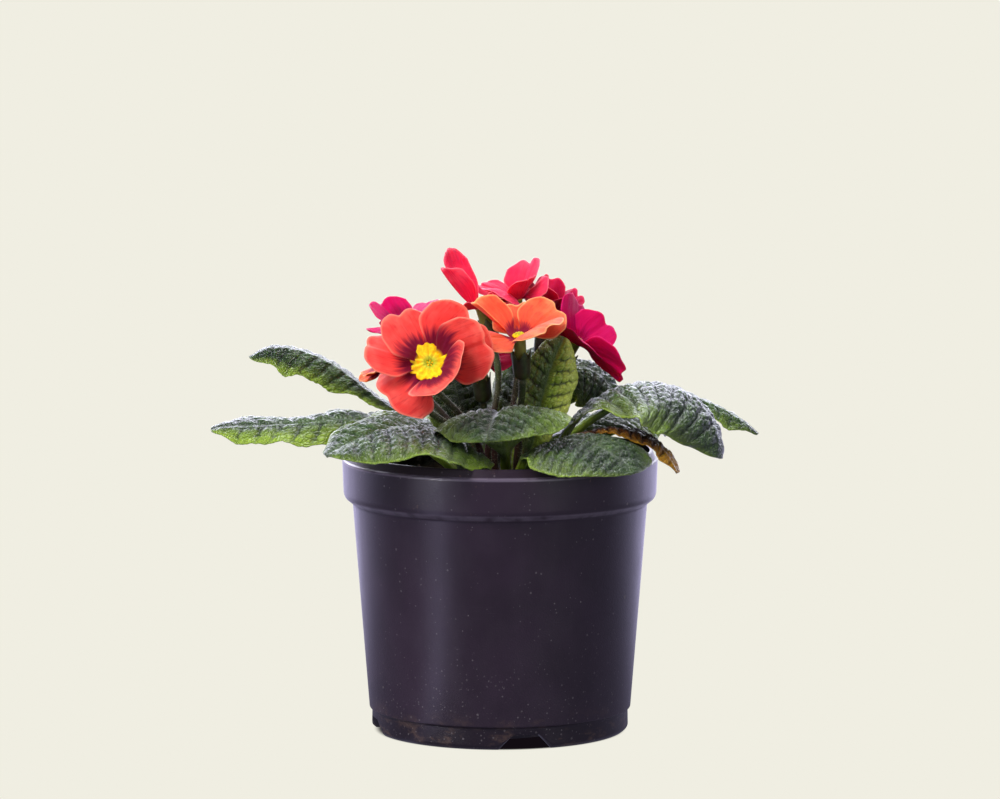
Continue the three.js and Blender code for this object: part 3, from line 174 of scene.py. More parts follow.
# Per bloom: middle of its face, the way that it looks, foot of its stalk, colour, radius of the
# eye, and per petal: clock angle, length, half width, slopes at root and tip, bends of its halves
# at the middle line and at the edge, and its turn about the middle line (all angles in degrees).
# An eye may have spread, how far it reaches for its radius, and fold, the depth of its folds.
BLOOMS = {
    "bloom_front": dict(
        centre=(-22.8, -40, 127.2), looks=(-0.06, -1, 0.6), foot=(-4.3, -7.4), colour="coral", eye=5.2,
        spread=1.3, fold=0.5,
        petals=[(44, 20.5, 12.2, 18, 10, 2, -18, 26), (77, 21.3, 9.8, 32, 20, 4, 12, 27),
                (143, 17.7, 11.6, 38, 53, 5, 30, 15), (231, 17.7, 12, 8, -10, -10, -46, 12),
                (284, 21, 8.6, 13, 9, -2, -18, 26), (325, 19.5, 10.4, 20, 6, 2, 6, 30)]),
    "bloom_orange": dict(
        centre=(6.4, -23, 133.8), looks=(-0.06, -0.24, 1), foot=(1.2, -4.8), colour="orange", eye=2.2,
        petals=[(345, 15.5, 8.1, 33, 25, -8, -32, 4), (42, 16.5, 7.8, 32, 20, 2, 8, 28),
                (120, 16, 9.4, 60, -12, 0, -4, 4), (226, 15.5, 7.8, 24, 4, -2, -18, -10),
                (280, 18.5, 6.4, 42, 38, 12, 52, 0)]),
    "bloom_right": dict(
        centre=(25, -0.6, 130), looks=(0.48, -0.1, 0.85), foot=(8.6, -1), colour="magenta", eye=2.2,
        petals=[(350, 16, 8.2, 34, 24, -2, -36, 0), (62, 17, 8.6, 42, 36, 0, -18, 32),
                (128, 13, 8, 58, 54, 6, 10, 18), (198, 20, 8.2, 8, -8, 4, 16, -40),
                (262, 16, 9.4, 32, 8, -2, -8, -8)]),
    "bloom_top": dict(
        centre=(5.4, 10.4, 143.4), looks=(-0.05, -0.14, 1), foot=(2.4, 4.2), colour="pink", eye=2.2,
        petals=[(8, 15, 6.7, 52, 38, 12, 20, -16), (66, 12, 6.6, 42, 36, -12, -36, -6),
                (128, 11, 5.1, 54, 44, 12, 36, 8), (196, 12, 7.6, 58, -12, -6, -26, -14),
                (282, 13.4, 5.4, 23, 12, 0, -4, -6)]),
    "bloom_tall": dict(
        centre=(-6.2, 2.6, 141.2), looks=(-0.3, 0.06, 1), foot=(-4.8, 0.6), colour="pink", eye=1.95,
        petals=[(222, 23.4, 4.6, 60, 86, 4, 40, 2), (306, 8.5, 4.4, 0, -24, 4, 10, -8),
                (18, 9.2, 6, 2, -26, -2, -18, 4), (84, 8.5, 5.3, 30, 14, 4, 8, 10),
                (146, 18.5, 6.2, 58, 70, 14, 72, 0)]),
    "bloom_left": dict(
        centre=(-31.5, 5, 134.4), looks=(-0.2, 0.04, 1), foot=(-9.4, 2.8), colour="magenta", eye=4.4,
        petals=[(12, 13, 6.8, 30, 20, 4, -12, 24), (84, 13.5, 6.4, 31, 13, 6, -8, 0),
                (156, 11.5, 7.3, 19, 5, -2, -36, -2), (224, 15, 6.9, 41, 43, 8, 24, -2),
                (300, 14, 8.7, 35, 25, -4, -40, 2)]),
    "bloom_low": dict(
        centre=(-35.5, -12, 124.2), looks=(-0.6, -0.1, 0.85), foot=(-8.6, -4.2), colour="orange", eye=3.8,
        petals=[(350, 11, 5.3, 25, 13, 4, -12, 0), (62, 11, 5, 17, 7, 0, -24, 0),
                (134, 11, 5.3, 25, 13, 4, -12, 2), (206, 11, 5.3, 19, 7, 0, -28, 0),
                (278, 11, 5.6, 22, 10, 4, -12, 18)]),
    "bloom_right_back": dict(
        centre=(15.6, 24.9, 136.6), looks=(0.12, -0.1, 1), foot=(5.2, 10), colour="crimson", eye=2.1,
        petals=[(340, 12.5, 6.9, 56, 46, 8, 32, 26), (52, 13, 5.6, 65, 59, 12, 48, 0),
                (124, 12.5, 6.9, 45, 37, -2, -6, 10), (196, 12, 6, 53, 41, 0, 8, 14),
                (268, 12, 6.3, 57, 55, 8, 28, 14)]),
    "bloom_inner": dict(
        centre=(-7, 15.5, 121.5), looks=(-0.1, -0.2, 1), foot=(-1.6, 9.2), colour="crimson", eye=4,
        petals=[(0, 13, 6.9, 17, 5, 0, -32, -2), (72, 11.4, 7.2, 22, 8, 4, -12, 22),
                (144, 10.5, 5.2, 31, 15, 6, -8, -2), (216, 10.5, 5.2, 21, 9, 0, -32, 2),
                (288, 13, 6, 27, 11, 6, -8, 0)]),
}

# ---- arithmetic shared by the surfaces -------------------------------------


def smoothstep(value, low, high):
    """0 below low, 1 above high, and an even S between."""
    share = np.clip((value - low) / (high - low), 0.0, 1.0)
    return share * share * (3.0 - 2.0 * share)


def lerp(start, end, share):
    """The value at a share of the way from start to end."""
    return start + (end - start) * share


def unit(vectors):
    """Vectors brought to length one."""
    return vectors / np.linalg.norm(vectors, axis=-1, keepdims=True)


def full_turn(count):
    """A row of angles in even steps round a whole turn."""
    return np.linspace(0, 2 * np.pi, count, endpoint=False)[None, :]


def arc_point(length, start, end, whole):
    """How far across and up an arc reaches that turns evenly from one angle to another."""
    bend = (end - start) / whole
    straight = np.abs(bend) < 1e-6
    safe = np.where(straight, 1.0, bend)
    angle = start + bend * length
    across = np.where(straight, length * np.cos(start), (np.sin(angle) - np.sin(start)) / safe)
    up = np.where(straight, length * np.sin(start), (np.cos(start) - np.cos(angle)) / safe)
    return across, up


def smooth_path(knots, per_span=60):
    """Dense points of the centripetal curve through the knots."""
    knots = np.array(knots, float)
    knots = np.vstack([2 * knots[0] - knots[1], knots, 2 * knots[-1] - knots[-2]])
    t = np.linspace(0.0, 1.0, per_span, endpoint=False)[:, None]
    spans = []
    for a, b, c, d in zip(knots[:-3], knots[1:-2], knots[2:-1], knots[3:]):
        before, here, after = (np.linalg.norm(v) ** 0.5 for v in (b - a, c - b, d - c))
        start = ((b - a) / before - (c - a) / (before + here) + (c - b) / here) * here
        end = ((c - b) / here - (d - b) / (here + after) + (d - c) / after) * here
        cubic = 2 * b - 2 * c + start + end
        square = -3 * b + 3 * c - 2 * start - end
        spans.append(b + start * t + square * t**2 + cubic * t**3)
    spans.append(knots[-2:-1])
    return np.vstack(spans)


def bezier_path(a, b, c, d, count=160):
    """Dense points of a cubic curve from a to d that leaves towards b and arrives from c."""
    t = np.linspace(0.0, 1.0, count)[:, None]
    return a * (1 - t) ** 3 + 3 * b * t * (1 - t) ** 2 + 3 * c * t**2 * (1 - t) + d * t**3


def path_length(path):
    """Length of a path of dense points."""
    return np.linalg.norm(np.diff(path, axis=0), axis=1).sum()


def along_path(path, share):
    """Points and directions at shares, 0 to 1, of a path's length."""
    run = np.concatenate([[0.0], np.cumsum(np.linalg.norm(np.diff(path, axis=0), axis=1))])
    run /= run[-1]

    def at(where):
        return np.stack([np.interp(where, run, path[:, k]) for k in range(3)], axis=-1)

    step = 0.005
    return at(share), unit(at(np.minimum(share + step, 1)) - at(np.maximum(share - step, 0)))


def cell_gap(across, up, seed):
    """Distance between a point's nearest and next cell centres, 0 on the border between two cells.

    Each unit square of the two coordinates holds one centre, moved at random inside it.
    """
    size = 64
    shift = np.random.default_rng(seed).uniform(0.15, 0.85, (size, size, 2))
    column = np.floor(across).astype(int)
    row = np.floor(up).astype(int)
    nearest = np.full(across.shape, 9.0)
    second = np.full(across.shape, 9.0)
    for i in (-1, 0, 1):
        for j in (-1, 0, 1):
            place = shift[(column + i) % size, (row + j) % size]
            reach = np.hypot(column + i + place[..., 0] - across, row + j + place[..., 1] - up)
            second = np.minimum(second, np.maximum(nearest, reach))
            nearest = np.minimum(nearest, reach)
    return second - nearest


# ---- building meshes -------------------------------------------------------


def grid_faces(rows, around, closed):
    """Quads between the rows of a grid. Rows that go anticlockwise face outwards as they rise."""
    lower = np.arange(rows - 1)[:, None] * around
    here = np.arange(around if closed else around - 1)[None, :]
    after = (here + 1) % around
    return np.stack([lower + here, lower + after, lower + around + after, lower + around + here],
                    axis=-1).reshape(-1, 4)


def blade_faces(rows, columns):
    """Quads of a closed thin blade. A row is a ring: upper points left to right, lower ones back."""
    ring = 2 * columns
    k = np.arange(columns - 1)
    foot = np.stack([k + 1, k, ring - 1 - k, ring - 2 - k], axis=-1)
    end = np.stack([k, k + 1, ring - 2 - k, ring - 1 - k], axis=-1) + (rows - 1) * ring
    return np.vstack([grid_faces(rows, ring, True), foot, end])


def two_faced(upper, lower):
    """Rows of a blade as rings: the upper face from left to right, then the lower one back."""
    return np.concatenate([upper, lower[:, ::-1]], axis=1)


def on_both(values, shape):
    """The same values on the upper and the lower face of a blade, point by point."""
    values = np.broadcast_to(values, shape)
    return two_faced(values, values).ravel()


def on_top(shape):
    """1 on the upper face of a blade and 0 on its lower one, point by point."""
    return two_faced(np.ones(shape), np.zeros(shape)).ravel()


class Form:
    """Points, faces and named values of one piece, gathered surface by surface."""

    def __init__(self):
        self.points, self.faces, self.values, self.count = [], [], [], 0

    def add(self, points, faces, **values):
        """Adds points, one block of faces or a list of blocks, and a value or values by name."""
        points = np.asarray(points, float).reshape(-1, 3)
        self.points.append(points)
        self.faces += [np.asarray(block) + self.count for block in
                       (faces if isinstance(faces, list) else [faces])]
        self.values.append({key: np.broadcast_to(value, points.shape[:1] if np.ndim(value) == 0
                                                 else np.shape(value)).reshape(len(points), -1)
                            for key, value in values.items()})
        self.count += len(points)

    def turn(self, axes, radius, height, azimuth, **values):
        """Adds a closed surface turned round an axis, from rings of radius and height."""
        shape = np.broadcast(radius, height, azimuth).shape
        self.add(turned_points(axes, radius, height, azimuth), turned_faces(*shape), **values)


def build(name, form, material, replaced):
    """Turns a form into an object that rides on the plant and takes its finish from a slot."""
    mesh = bpy.data.meshes.new(name)
    points = np.vstack(form.points) * MM
    sizes = np.concatenate([np.full(len(block), block.shape[1]) for block in form.faces])
    corners = np.concatenate([block.ravel() for block in form.faces])
    mesh.vertices.add(len(points))
    mesh.vertices.foreach_set("co", points.astype(np.float32).ravel())
    mesh.loops.add(len(corners))
    mesh.loops.foreach_set("vertex_index", corners.astype(np.int32))
    mesh.polygons.add(len(sizes))
    mesh.polygons.foreach_set("loop_start", (np.cumsum(sizes) - sizes).astype(np.int32))
    mesh.update(calc_edges=True)
    mesh.polygons.foreach_set("use_smooth", np.ones(len(sizes), bool))
    for key in form.values[0]:
        data = np.vstack([values[key] for values in form.values]).astype(np.float32)
        if key == "uv":
            layer = mesh.uv_layers.new(name="surface")
            layer.data.foreach_set("uv", data[corners].ravel())
        else:
            layer = mesh.attributes.new(key, "FLOAT", "POINT")
            layer.data.foreach_set("value", data.ravel())
    mesh.validate()
    mesh.materials.append(material)
    piece = bpy.data.objects.new(name, mesh)
    SCENE.collection.objects.link(piece)
    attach(piece, "root")
    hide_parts(*replaced)
    return piece


def turned_faces(rows, around):
    """Faces of a surface turned round an axis: a pole, rings of points, and another pole."""
    ring = np.arange(around)
    after = (ring + 1) % around
    last = 1 + (rows - 1) * around
    foot = np.stack([np.zeros(around, int), 1 + after, 1 + ring], axis=-1)
    end = np.stack([np.full(around, last + around), last + ring, last + after], axis=-1)
    return [grid_faces(rows, around, True) + 1, foot, end]


def axis_point(axes, radius, height, azimuth):
    """A point at a radius, height and azimuth about an axis; azimuth runs anticlockwise."""
    origin, first, second, out = axes
    radius, height, azimuth = (np.asarray(v, float)[..., None] for v in (radius, height, azimuth))
    return origin + first * radius * np.cos(azimuth) + second * radius * np.sin(azimuth) + out * height


UPRIGHT = (np.zeros(3), np.array([1.0, 0, 0]), np.array([0, 1.0, 0]), np.array([0, 0, 1.0]))


def turned_points(axes, radius, height, azimuth):
    """Points for turned_faces: rings by radius and height, with a pole under and over them."""
    radius, height, azimuth = np.broadcast_arrays(radius, height, azimuth)
    rings = axis_point(axes, radius, height, azimuth)
    first = axis_point(axes, 0.0, np.mean(height[0]), 0.0)
    last = axis_point(axes, 0.0, np.mean(height[-1]), 0.0)
    return np.vstack([first.reshape(1, 3), rings.reshape(-1, 3), last.reshape(1, 3)])


def stacked(rows, around):
    """Radius and height of rows, each a number or a ring of numbers, as two arrays of rings."""
    return (np.vstack([np.broadcast_to(row[k], (1, around)) for row in rows]) for k in (0, 1))


# ---- leaves ----------------------------------------------------------------

STALK_HALF_WIDTH = 2.0
BLADE_THICKNESS = 0.62
MIDRIB_DEPTH, SIDE_RIB_DEPTH, GROOVE_DEPTH = 1.2, 0.3, 0.4
SWELL_HEIGHT, PUFF_HEIGHT = 1.35, 0.6


def leaf_form(leaf, blade_rows, columns, seed):
    """One leaf as a closed thin blade; rows run across the midrib, columns along it.

    A row's points lie on an arc that bends away from the midrib. They are moved along the blade's
    normal by the wave of its edge, by the swelling between the side veins and by the puffed cells
    of the net between them. The lower face lies one blade's thickness below, and the midrib and
    the side veins stand out of it. In the stalk a row is a flat-topped half round.
    """
    wave_height, wave_count, phase = leaf["wave"]
    x, y = leaf["midrib"][0]
    path = smooth_path([(x, y, COMPOST_TOP - FOOT_DEPTH), (x, y, COMPOST_TOP + 1), *leaf["midrib"][1:]])
    stalk = leaf["stalk"]
    blade_length = (1 - stalk) * path_length(path)
    bare = np.linspace(-1, 0, blade_rows // 5, endpoint=False)
    along = np.concatenate([bare, 1 - (1 - np.linspace(0, 1, blade_rows)) ** 1.2])
    at = np.where(along < 0, stalk * (1 + along), stalk + (1 - stalk) * along)
    centre, forward = along_path(path, at)
    face = unit(np.array(leaf["face"], float))
    up = unit(face - forward * (forward @ face)[:, None])[:, None, :]
    side = np.cross(forward, up[:, 0])[:, None, :]

    fraction = np.linspace(-1, 1, columns)[None, :]
    far = np.abs(fraction)
    sign = np.sign(fraction)[..., None]
    blade = np.maximum(along, 0)[:, None]
    station = np.where(along < 0, 3 + 3 * along, 14 - 11 * (1 - blade[:, 0]) ** (1 / 1.35))[:, None]
    opened = smoothstep(blade, 0, 0.25)
    tip = smoothstep(blade, 0.8, 1)
    changed = blade ** leaf.get("late", 1)

    def by_side(left, right):
        return np.where(fraction < 0, left, right)

    def bend(pairs):
        (left_foot, left_tip), (right_foot, right_tip) = pairs
        foot, end = by_side(left_foot, right_foot), by_side(left_tip, right_tip)
        return np.radians(lerp(foot, end, changed)) * opened

    power = math.log(0.5) / math.log(leaf["widest"])
    outline = np.maximum(np.sin(np.pi * blade**power), 0) ** lerp(0.9, 0.55, blade)
    wobble = 1 + 0.04 * np.sin(2.1 * station + phase)
    grown = (by_side(*leaf["widths"]) - STALK_HALF_WIDTH) * outline * wobble
    half = STALK_HALF_WIDTH * (1 - 0.6 * tip) + grown
    run = blade * blade_length
    turn_at = run + np.where(fraction < 0, 3.1, 0.0)
    teeth = 0.2 * np.abs(np.sin(1.35 * turn_at + 0.8 * np.sin(0.37 * turn_at)))
    teeth = teeth + 0.3 * np.sin(0.55 * turn_at + seed)
    reach = far * half + far**12 * teeth * opened * (1 - 0.5 * tip)
    start, end = bend(leaf["rib"]), bend(leaf["edge"])
    out, rise = arc_point(reach, start, end, half)
    angle = (start + (end - start) * far)[..., None]
    normal = up * np.cos(angle) - sign * side * np.sin(angle)

    spacing = float(np.clip(0.088 * blade_length, 4.4, 6.6))
    rank = (run - 0.36 * reach - 0.011 * reach**2) / spacing + by_side(0.45, 0.0)
    vein_gap = np.abs(rank - np.round(rank)) * spacing * 0.9
    cell_across = reach / (0.5 * spacing)
    gap = cell_gap(2.0 * rank + 20, cell_across + by_side(30, 0) + 0.1 * np.sin(2 * rank), seed)
    swell = np.abs(np.sin(np.pi * rank)) ** 0.75 - 0.55
    puff = smoothstep(gap, 0.0, 0.5) - 0.6
    calm = opened * (1 - 0.75 * tip) * smoothstep(reach, 0.4, 2.6) * (1 - 0.85 * far**4)
    relief = leaf.get("relief", 1.0) * calm * (SWELL_HEIGHT * swell + PUFF_HEIGHT * puff)
    relief = relief - GROOVE_DEPTH * np.exp(-(reach**2)) * opened
    turn = 2 * np.pi * wave_count * blade + phase + by_side(2.1, 0.0)
    wave = wave_height * fraction**2 * np.sin(turn) * opened * (1 - tip)
    crinkle = far**5 * opened * (0.3 * np.sin(0.6 * turn_at + seed) + 0.1 * np.sin(1.9 * turn_at)) * (1 - tip)

    stalk_depth = 2.1 * np.sqrt(np.maximum(0, 1 - far**2)) * (1 - opened)
    rib_depth = MIDRIB_DEPTH * (1 - 0.6 * blade) * np.exp(-((reach / 1.3) ** 2)) * opened
    side_ribs = SIDE_RIB_DEPTH * np.exp(-((vein_gap / 0.42) ** 2)) * calm * (1 - 0.6 * far)
    thin = 0.5 * BLADE_THICKNESS * (1 - 0.55 * far**6)
    middle = centre[:, None, :] + sign * side * out[..., None] + up * (rise + wave + crinkle)[..., None]
    upper = middle + normal * (relief + thin + 0.35 * stalk_depth - 0.3 * rib_depth)[..., None]
    lower = middle + normal * (relief - thin - 0.65 * stalk_depth - rib_depth - side_ribs)[..., None]

    net = 0.8 * (1 - smoothstep(gap, 0.02, 0.3)) * calm
    side_veins = np.exp(-((vein_gap / 0.38) ** 2)) * (1 - 0.5 * far) * opened
    vein = np.maximum(np.maximum(net, side_veins), np.exp(-((reach / 0.75) ** 2)))

    edge_glow = by_side(*leaf.get("glow", (0.3, 0.3))) * opened
    edge_glow = edge_glow * smoothstep(far, leaf.get("glow_from", 0.5), 1)
    tip_glow = leaf.get("tip_glow", 0.0) * smoothstep(blade, 0.7, 0.92)

    def both(values):
        return on_both(values, half.shape)

    form = Form()
    form.add(two_faced(upper, lower), blade_faces(len(along), columns), top=on_top(half.shape),
             vein=both(vein), puff=both(calm * (swell + puff)), along=both(along[:, None]), far=both(far),
             glow=both(np.maximum(edge_glow, tip_glow)),
             uv=np.stack([both(rank), both(cell_across)], axis=-1))
    return form


# ---- blooms ----------------------------------------------------------------

PETAL_LENGTH_SHARE = 0.97
PETAL_WIDTH_SHARE = 1.12
PETAL_HALF_THICKNESS = 0.24
PETAL_SEED = 40
TUBE_SIDES = 30
STALK_END = CUP_LENGTH + 0.9
STALK_RISE, STALK_REACH = 28.0, 16.0  # how far a stalk keeps its direction at its foot and its end
STALK_GRID = (40, 14)
CUP_POINTS = 60
STALK_HAIRS, HAIR_LENGTH, HAIR_RADIUS = 260, 1.3, 0.05

# Radius and height where the faces of a petal's claw meet the tube, and of the tube's rings, up
# its outside and down into the throat.
CLAW_UPPER, CLAW_LOWER = (THROAT_RADIUS - 0.2, 0.3), (TUBE_RADIUS, -0.35)
TUBE_SECTION = np.array([(TUBE_RADIUS - 0.1, -TUBE_LENGTH), (TUBE_RADIUS - 0.1, -8), CLAW_LOWER, CLAW_UPPER,
                         (1.35, -0.9), (0.8, -2.4), (0.3, -3.3)])

# Shares of the eye's reach where its rings lie, out along its underside and back over its top, and
# radius, height and share of those that dip into the throat.
EYE_UNDERSIDE, EYE_TOP = (0.0, 0.35, 0.7, 1.0), (1.0, 0.9, 0.75, 0.6, 0.45, 0.3, 0.15, 0.0)
EYE_DIP = [(1.2, 1.1, 0.0), (1.05, 0.6, 0.0), (0.6, 0.1, 0.0)]
EYE_POINTS = 132
ANTHERS = 5
BEAD_POINTS, BEAD_RINGS = 10, 7

# The cup's rings: height, radius and share of its ribs up the outside; share of a tooth's height
# and radius over the teeth, outside and inside; radius and height of the bottom inside.
CUP_OUTSIDE = [(-14.3, 1.15, 0), (-13.8, 1.9, 0.2), (-13.0, 2.6, 0.5), (-11.6, 2.85, 0.7), (-8.8, 2.95, 0.8)]
TEETH_OUTSIDE, TEETH_INSIDE = ((0.0, 3.0), (0.5, 3.12), (1.0, 3.3)), ((1.0, 3.05), (0.4, 2.85), (0.0, 2.72))
CUP_BOTTOM = (2.5, -12.7)


def bloom_axes(bloom):
    """Middle of the face, its top, its left as one looks at it, and the way out of it."""
    out = unit(np.array(bloom["looks"], float))
    top = unit(np.array([0, 0, 1.0]) - out * out[2])
    return np.array(bloom["centre"], float), top, np.cross(out, top), out


def claw_edges(petals):
    """Per petal, the clock angles where its claw begins and ends, halfway to both neighbours."""
    clocks = [petal[0] for petal in petals]
    ends = [at + ((clocks[(i + 1) % len(clocks)] - at) % 360) / 2 for i, at in enumerate(clocks)]
    starts = [ends[i - 1] - (360 if ends[i - 1] > at else 0) for i, at in enumerate(clocks)]
    return list(zip(starts, ends))


def petal_blade(axes, petal, claw, rows, columns, random):
    """One petal as a closed thin blade: rows run outwards from the throat, columns across.

    The middle line leaves the throat along an arc. Across it each half bends along an arc of its
    own, a narrow claw widens to a broad lobe, and the far edge is rounded with a notch. A crease
    runs down the middle, the edge ruffles, and fine veins stand in low relief.
    """
    centre, top, left, out = axes
    clock, length, half_width, slope_root, slope_tip, bend_mid, bend_edge, turn = petal
    outward = top * math.cos(math.radians(clock)) - left * math.sin(math.radians(clock))
    across = np.cross(outward, out)
    along = np.linspace(0, 1, rows)[:, None]
    fraction = np.linspace(-1, 1, columns)[None, :]
    far = np.abs(fraction)
    sign = np.sign(fraction)[..., None]
    opened = smoothstep(along, 0, 0.3)
    swing = random.uniform(0, 2 * np.pi, 4)
    scallop = 0.012 * np.sin(4.5 * fraction + swing[0]) + 0.008 * np.sin(11 * fraction + swing[1])
    notch = 0.09 * smoothstep(half_width / length, 0.3, 0.5)
    full = 1 - lerp(0.22, 0.34, notch / 0.09) * far**3.2 - notch * np.exp(-((fraction / 0.2) ** 2)) + scallop
    run = PETAL_LENGTH_SHARE * along * length * full
    start, end = math.radians(slope_root), math.radians(slope_tip)
    reach, high = arc_point(run, start, end, length)
    slope = (start + (end - start) * run / length)[..., None]
    flat = out * np.cos(slope) - outward * np.sin(slope)
    lean = (math.radians(turn) * opened)[..., None]
    side = across * np.cos(lean) - flat * np.sin(lean)
    up = flat * np.cos(lean) + across * np.sin(lean)
    lobe = np.sin(np.pi / 2 * smoothstep(along, -0.05, 0.75)) ** 1.2
    half = PETAL_WIDTH_SHARE * half_width * (0.22 + 0.78 * lobe)
    inner, outer = math.radians(bend_mid) * opened, math.radians(bend_edge) * opened
    spread, rise = arc_point(far * half, inner, outer, half)
    angle = (inner + (outer - inner) * far)[..., None]
    normal = up * np.cos(angle) - sign * side * np.sin(angle)
    crease = -0.4 * np.exp(-((fraction / 0.07) ** 2)) * smoothstep(along, 0.05, 0.4) * (1 - 0.5 * along)
    ruffle = along**3 * (0.45 * np.sin(3.3 * fraction + swing[2]) + 0.25 * np.sin(8.5 * fraction + swing[3]))
    veins = 0.06 * np.sin(26 * fraction * (1 - 0.25 * along) + swing[1]) * opened * (1 - far**4)
    middle = (centre + outward * (THROAT_RADIUS + reach)[..., None] + out * high[..., None]
              + sign * side * spread[..., None] + up * rise[..., None])
    lift = (crease + ruffle + veins)[..., None]
    thin = (PETAL_HALF_THICKNESS * (1 - 0.6 * far**8) * (1 - 0.55 * along**6))[..., None]

    turn_round = -np.radians(lerp(claw[0], claw[1], 0.5 + 0.46 * fraction))
    free = smoothstep(along, 0, 0.2)[..., None]
    root_upper, root_lower = (axis_point(axes, np.full_like(turn_round, radius), height, turn_round)
                              for radius, height in (CLAW_UPPER, CLAW_LOWER))
    upper = lerp(root_upper, middle + normal * (lift + thin), free)
    lower = lerp(root_lower, middle + normal * (lift - thin), free)
    return upper, lower, along, fraction


def petals_form(bloom, rows, columns, seed):
    """All petals of a bloom, and the tube under them with a funnel for a throat."""
    axes = bloom_axes(bloom)
    random = np.random.default_rng(seed)
    form = Form()
    for petal, claw in zip(bloom["petals"], claw_edges(bloom["petals"])):
        upper, lower, along, fraction = petal_blade(axes, petal, claw, rows, columns, random)
        shape = upper.shape[:2]
        offset = upper - axes[0]
        from_axis = np.linalg.norm(offset - (offset @ axes[3])[..., None] * axes[3], axis=-1)
        form.add(two_faced(upper, lower), blade_faces(rows, columns), top=on_top(shape),
                 along=on_both(along, shape), eye=on_both(from_axis / bloom["eye"], shape),
                 tint=random.uniform(-1, 1),
                 uv=np.stack([on_both(fraction * 0.5 + 0.5, shape), on_both(along, shape)], axis=-1))
    form.turn(axes, TUBE_SECTION[:, :1], TUBE_SECTION[:, 1:], full_turn(TUBE_SIDES), top=0.0, along=-1.0,
              eye=9.0, tint=0.0, uv=np.zeros((2 + TUBE_SIDES * len(TUBE_SECTION), 2)))
    return form


def eye_form(bloom, around, seed):
    """The folded yellow star round the throat, with five anthers and a stigma in it.

    Its edge is a wave with two points to each petal, and it rises outwards as the petals do. The
    upper face has folds that run out from a raised lip; inside the lip it dips into the throat.
    """
    axes = bloom_axes(bloom)
    count = len(bloom["petals"])
    azimuth = full_turn(around)
    clocks = np.array([petal[0] for petal in bloom["petals"]], float)
    slopes = np.array([petal[3] for petal in bloom["petals"]], float)
    order = np.argsort(clocks)
    here = np.degrees(-azimuth) % 360
    slope = np.interp(here, clocks[order], slopes[order], period=360)
    turn = np.radians(here - clocks[0])
    ragged = 0.05 * np.sin(7 * turn + seed + 1) + 0.05 * np.sin(17 * turn + 2 * seed)
    edge = bloom["eye"] * (bloom.get("spread", 1.0) - 0.07 * np.cos(2 * count * turn) + ragged)
    climb = np.tan(np.radians(np.minimum(slope, 60)))

    def lie(radius):
        return np.maximum(0, radius - THROAT_RADIUS) * climb * 0.92 + 0.55

    rows = []
    for share in EYE_UNDERSIDE:
        radius = lerp(1.3, edge, share)
        rows.append((radius, lie(radius) + 0.1, share))
    for share in EYE_TOP:
        radius = lerp(1.35, edge, share)
        folds = bloom.get("fold", 0.32) * np.cos(2 * count * turn + 0.6) * share * (1.15 - share) * 2
        grain = 0.2 * np.sin(5 * turn + 9 * share + seed) * np.sin(9 * turn - 5 * share) * share
        lip = 0.75 * math.exp(-((share - 0.16) / 0.16) ** 2)
        thick = 0.12 if share == 1.0 else 0.4
        rows.append((radius, lie(radius) + 0.1 + thick + folds + grain + lip, share))
    rows += EYE_DIP
    radius, height = stacked(rows, around)
    share = np.concatenate([[0.0], np.repeat([row[2] for row in rows], around), [0.0]])
    form = Form()
    form.turn(axes, radius, height, azimuth, share=share)
    centre, first, second, out = axes
    bead_rise = np.linspace(-1, 1, BEAD_RINGS)[1:-1, None]
    for k in range(ANTHERS + 1):
        stigma = k == ANTHERS
        about = 2 * np.pi * k / ANTHERS + seed
        middle = centre + out * 1.35 if stigma else (
            centre + (first * math.cos(about) + second * math.sin(about)) * 0.85 + out * 0.95)
        size, tall = (0.42, 0.42) if stigma else (0.3, 0.62)
        form.turn((middle, first, second, out), size * np.sqrt(1 - bead_rise**2), tall * bead_rise,
                  full_turn(BEAD_POINTS), share=-0.3 if stigma else 0.6)
    return form


def add_hairs(form, roots, normals, random, **values):
    """Adds soft hairs: three-sided cones that stand on the surface, each a little out of true."""
    count = len(roots)
    lean = unit(normals + 0.45 * random.normal(size=(count, 3)))
    first = unit(np.cross(lean, random.normal(size=(count, 3))))
    second = np.cross(lean, first)
    long = HAIR_LENGTH * random.uniform(0.6, 1.3, (count, 1))
    corners = [roots - 0.1 * lean + HAIR_RADIUS * (first * math.cos(a) + second * math.sin(a))
               for a in (0.0, 2 * math.pi / 3, 4 * math.pi / 3)]
    points = np.stack([*corners, roots + lean * long], axis=1)
    base = 4 * np.arange(count)[:, None]
    faces = np.concatenate([base + np.array(corner)[None, :]
                            for corner in ((0, 1, 3), (1, 2, 3), (2, 0, 3), (0, 2, 1))])
    form.add(points, faces, **values)


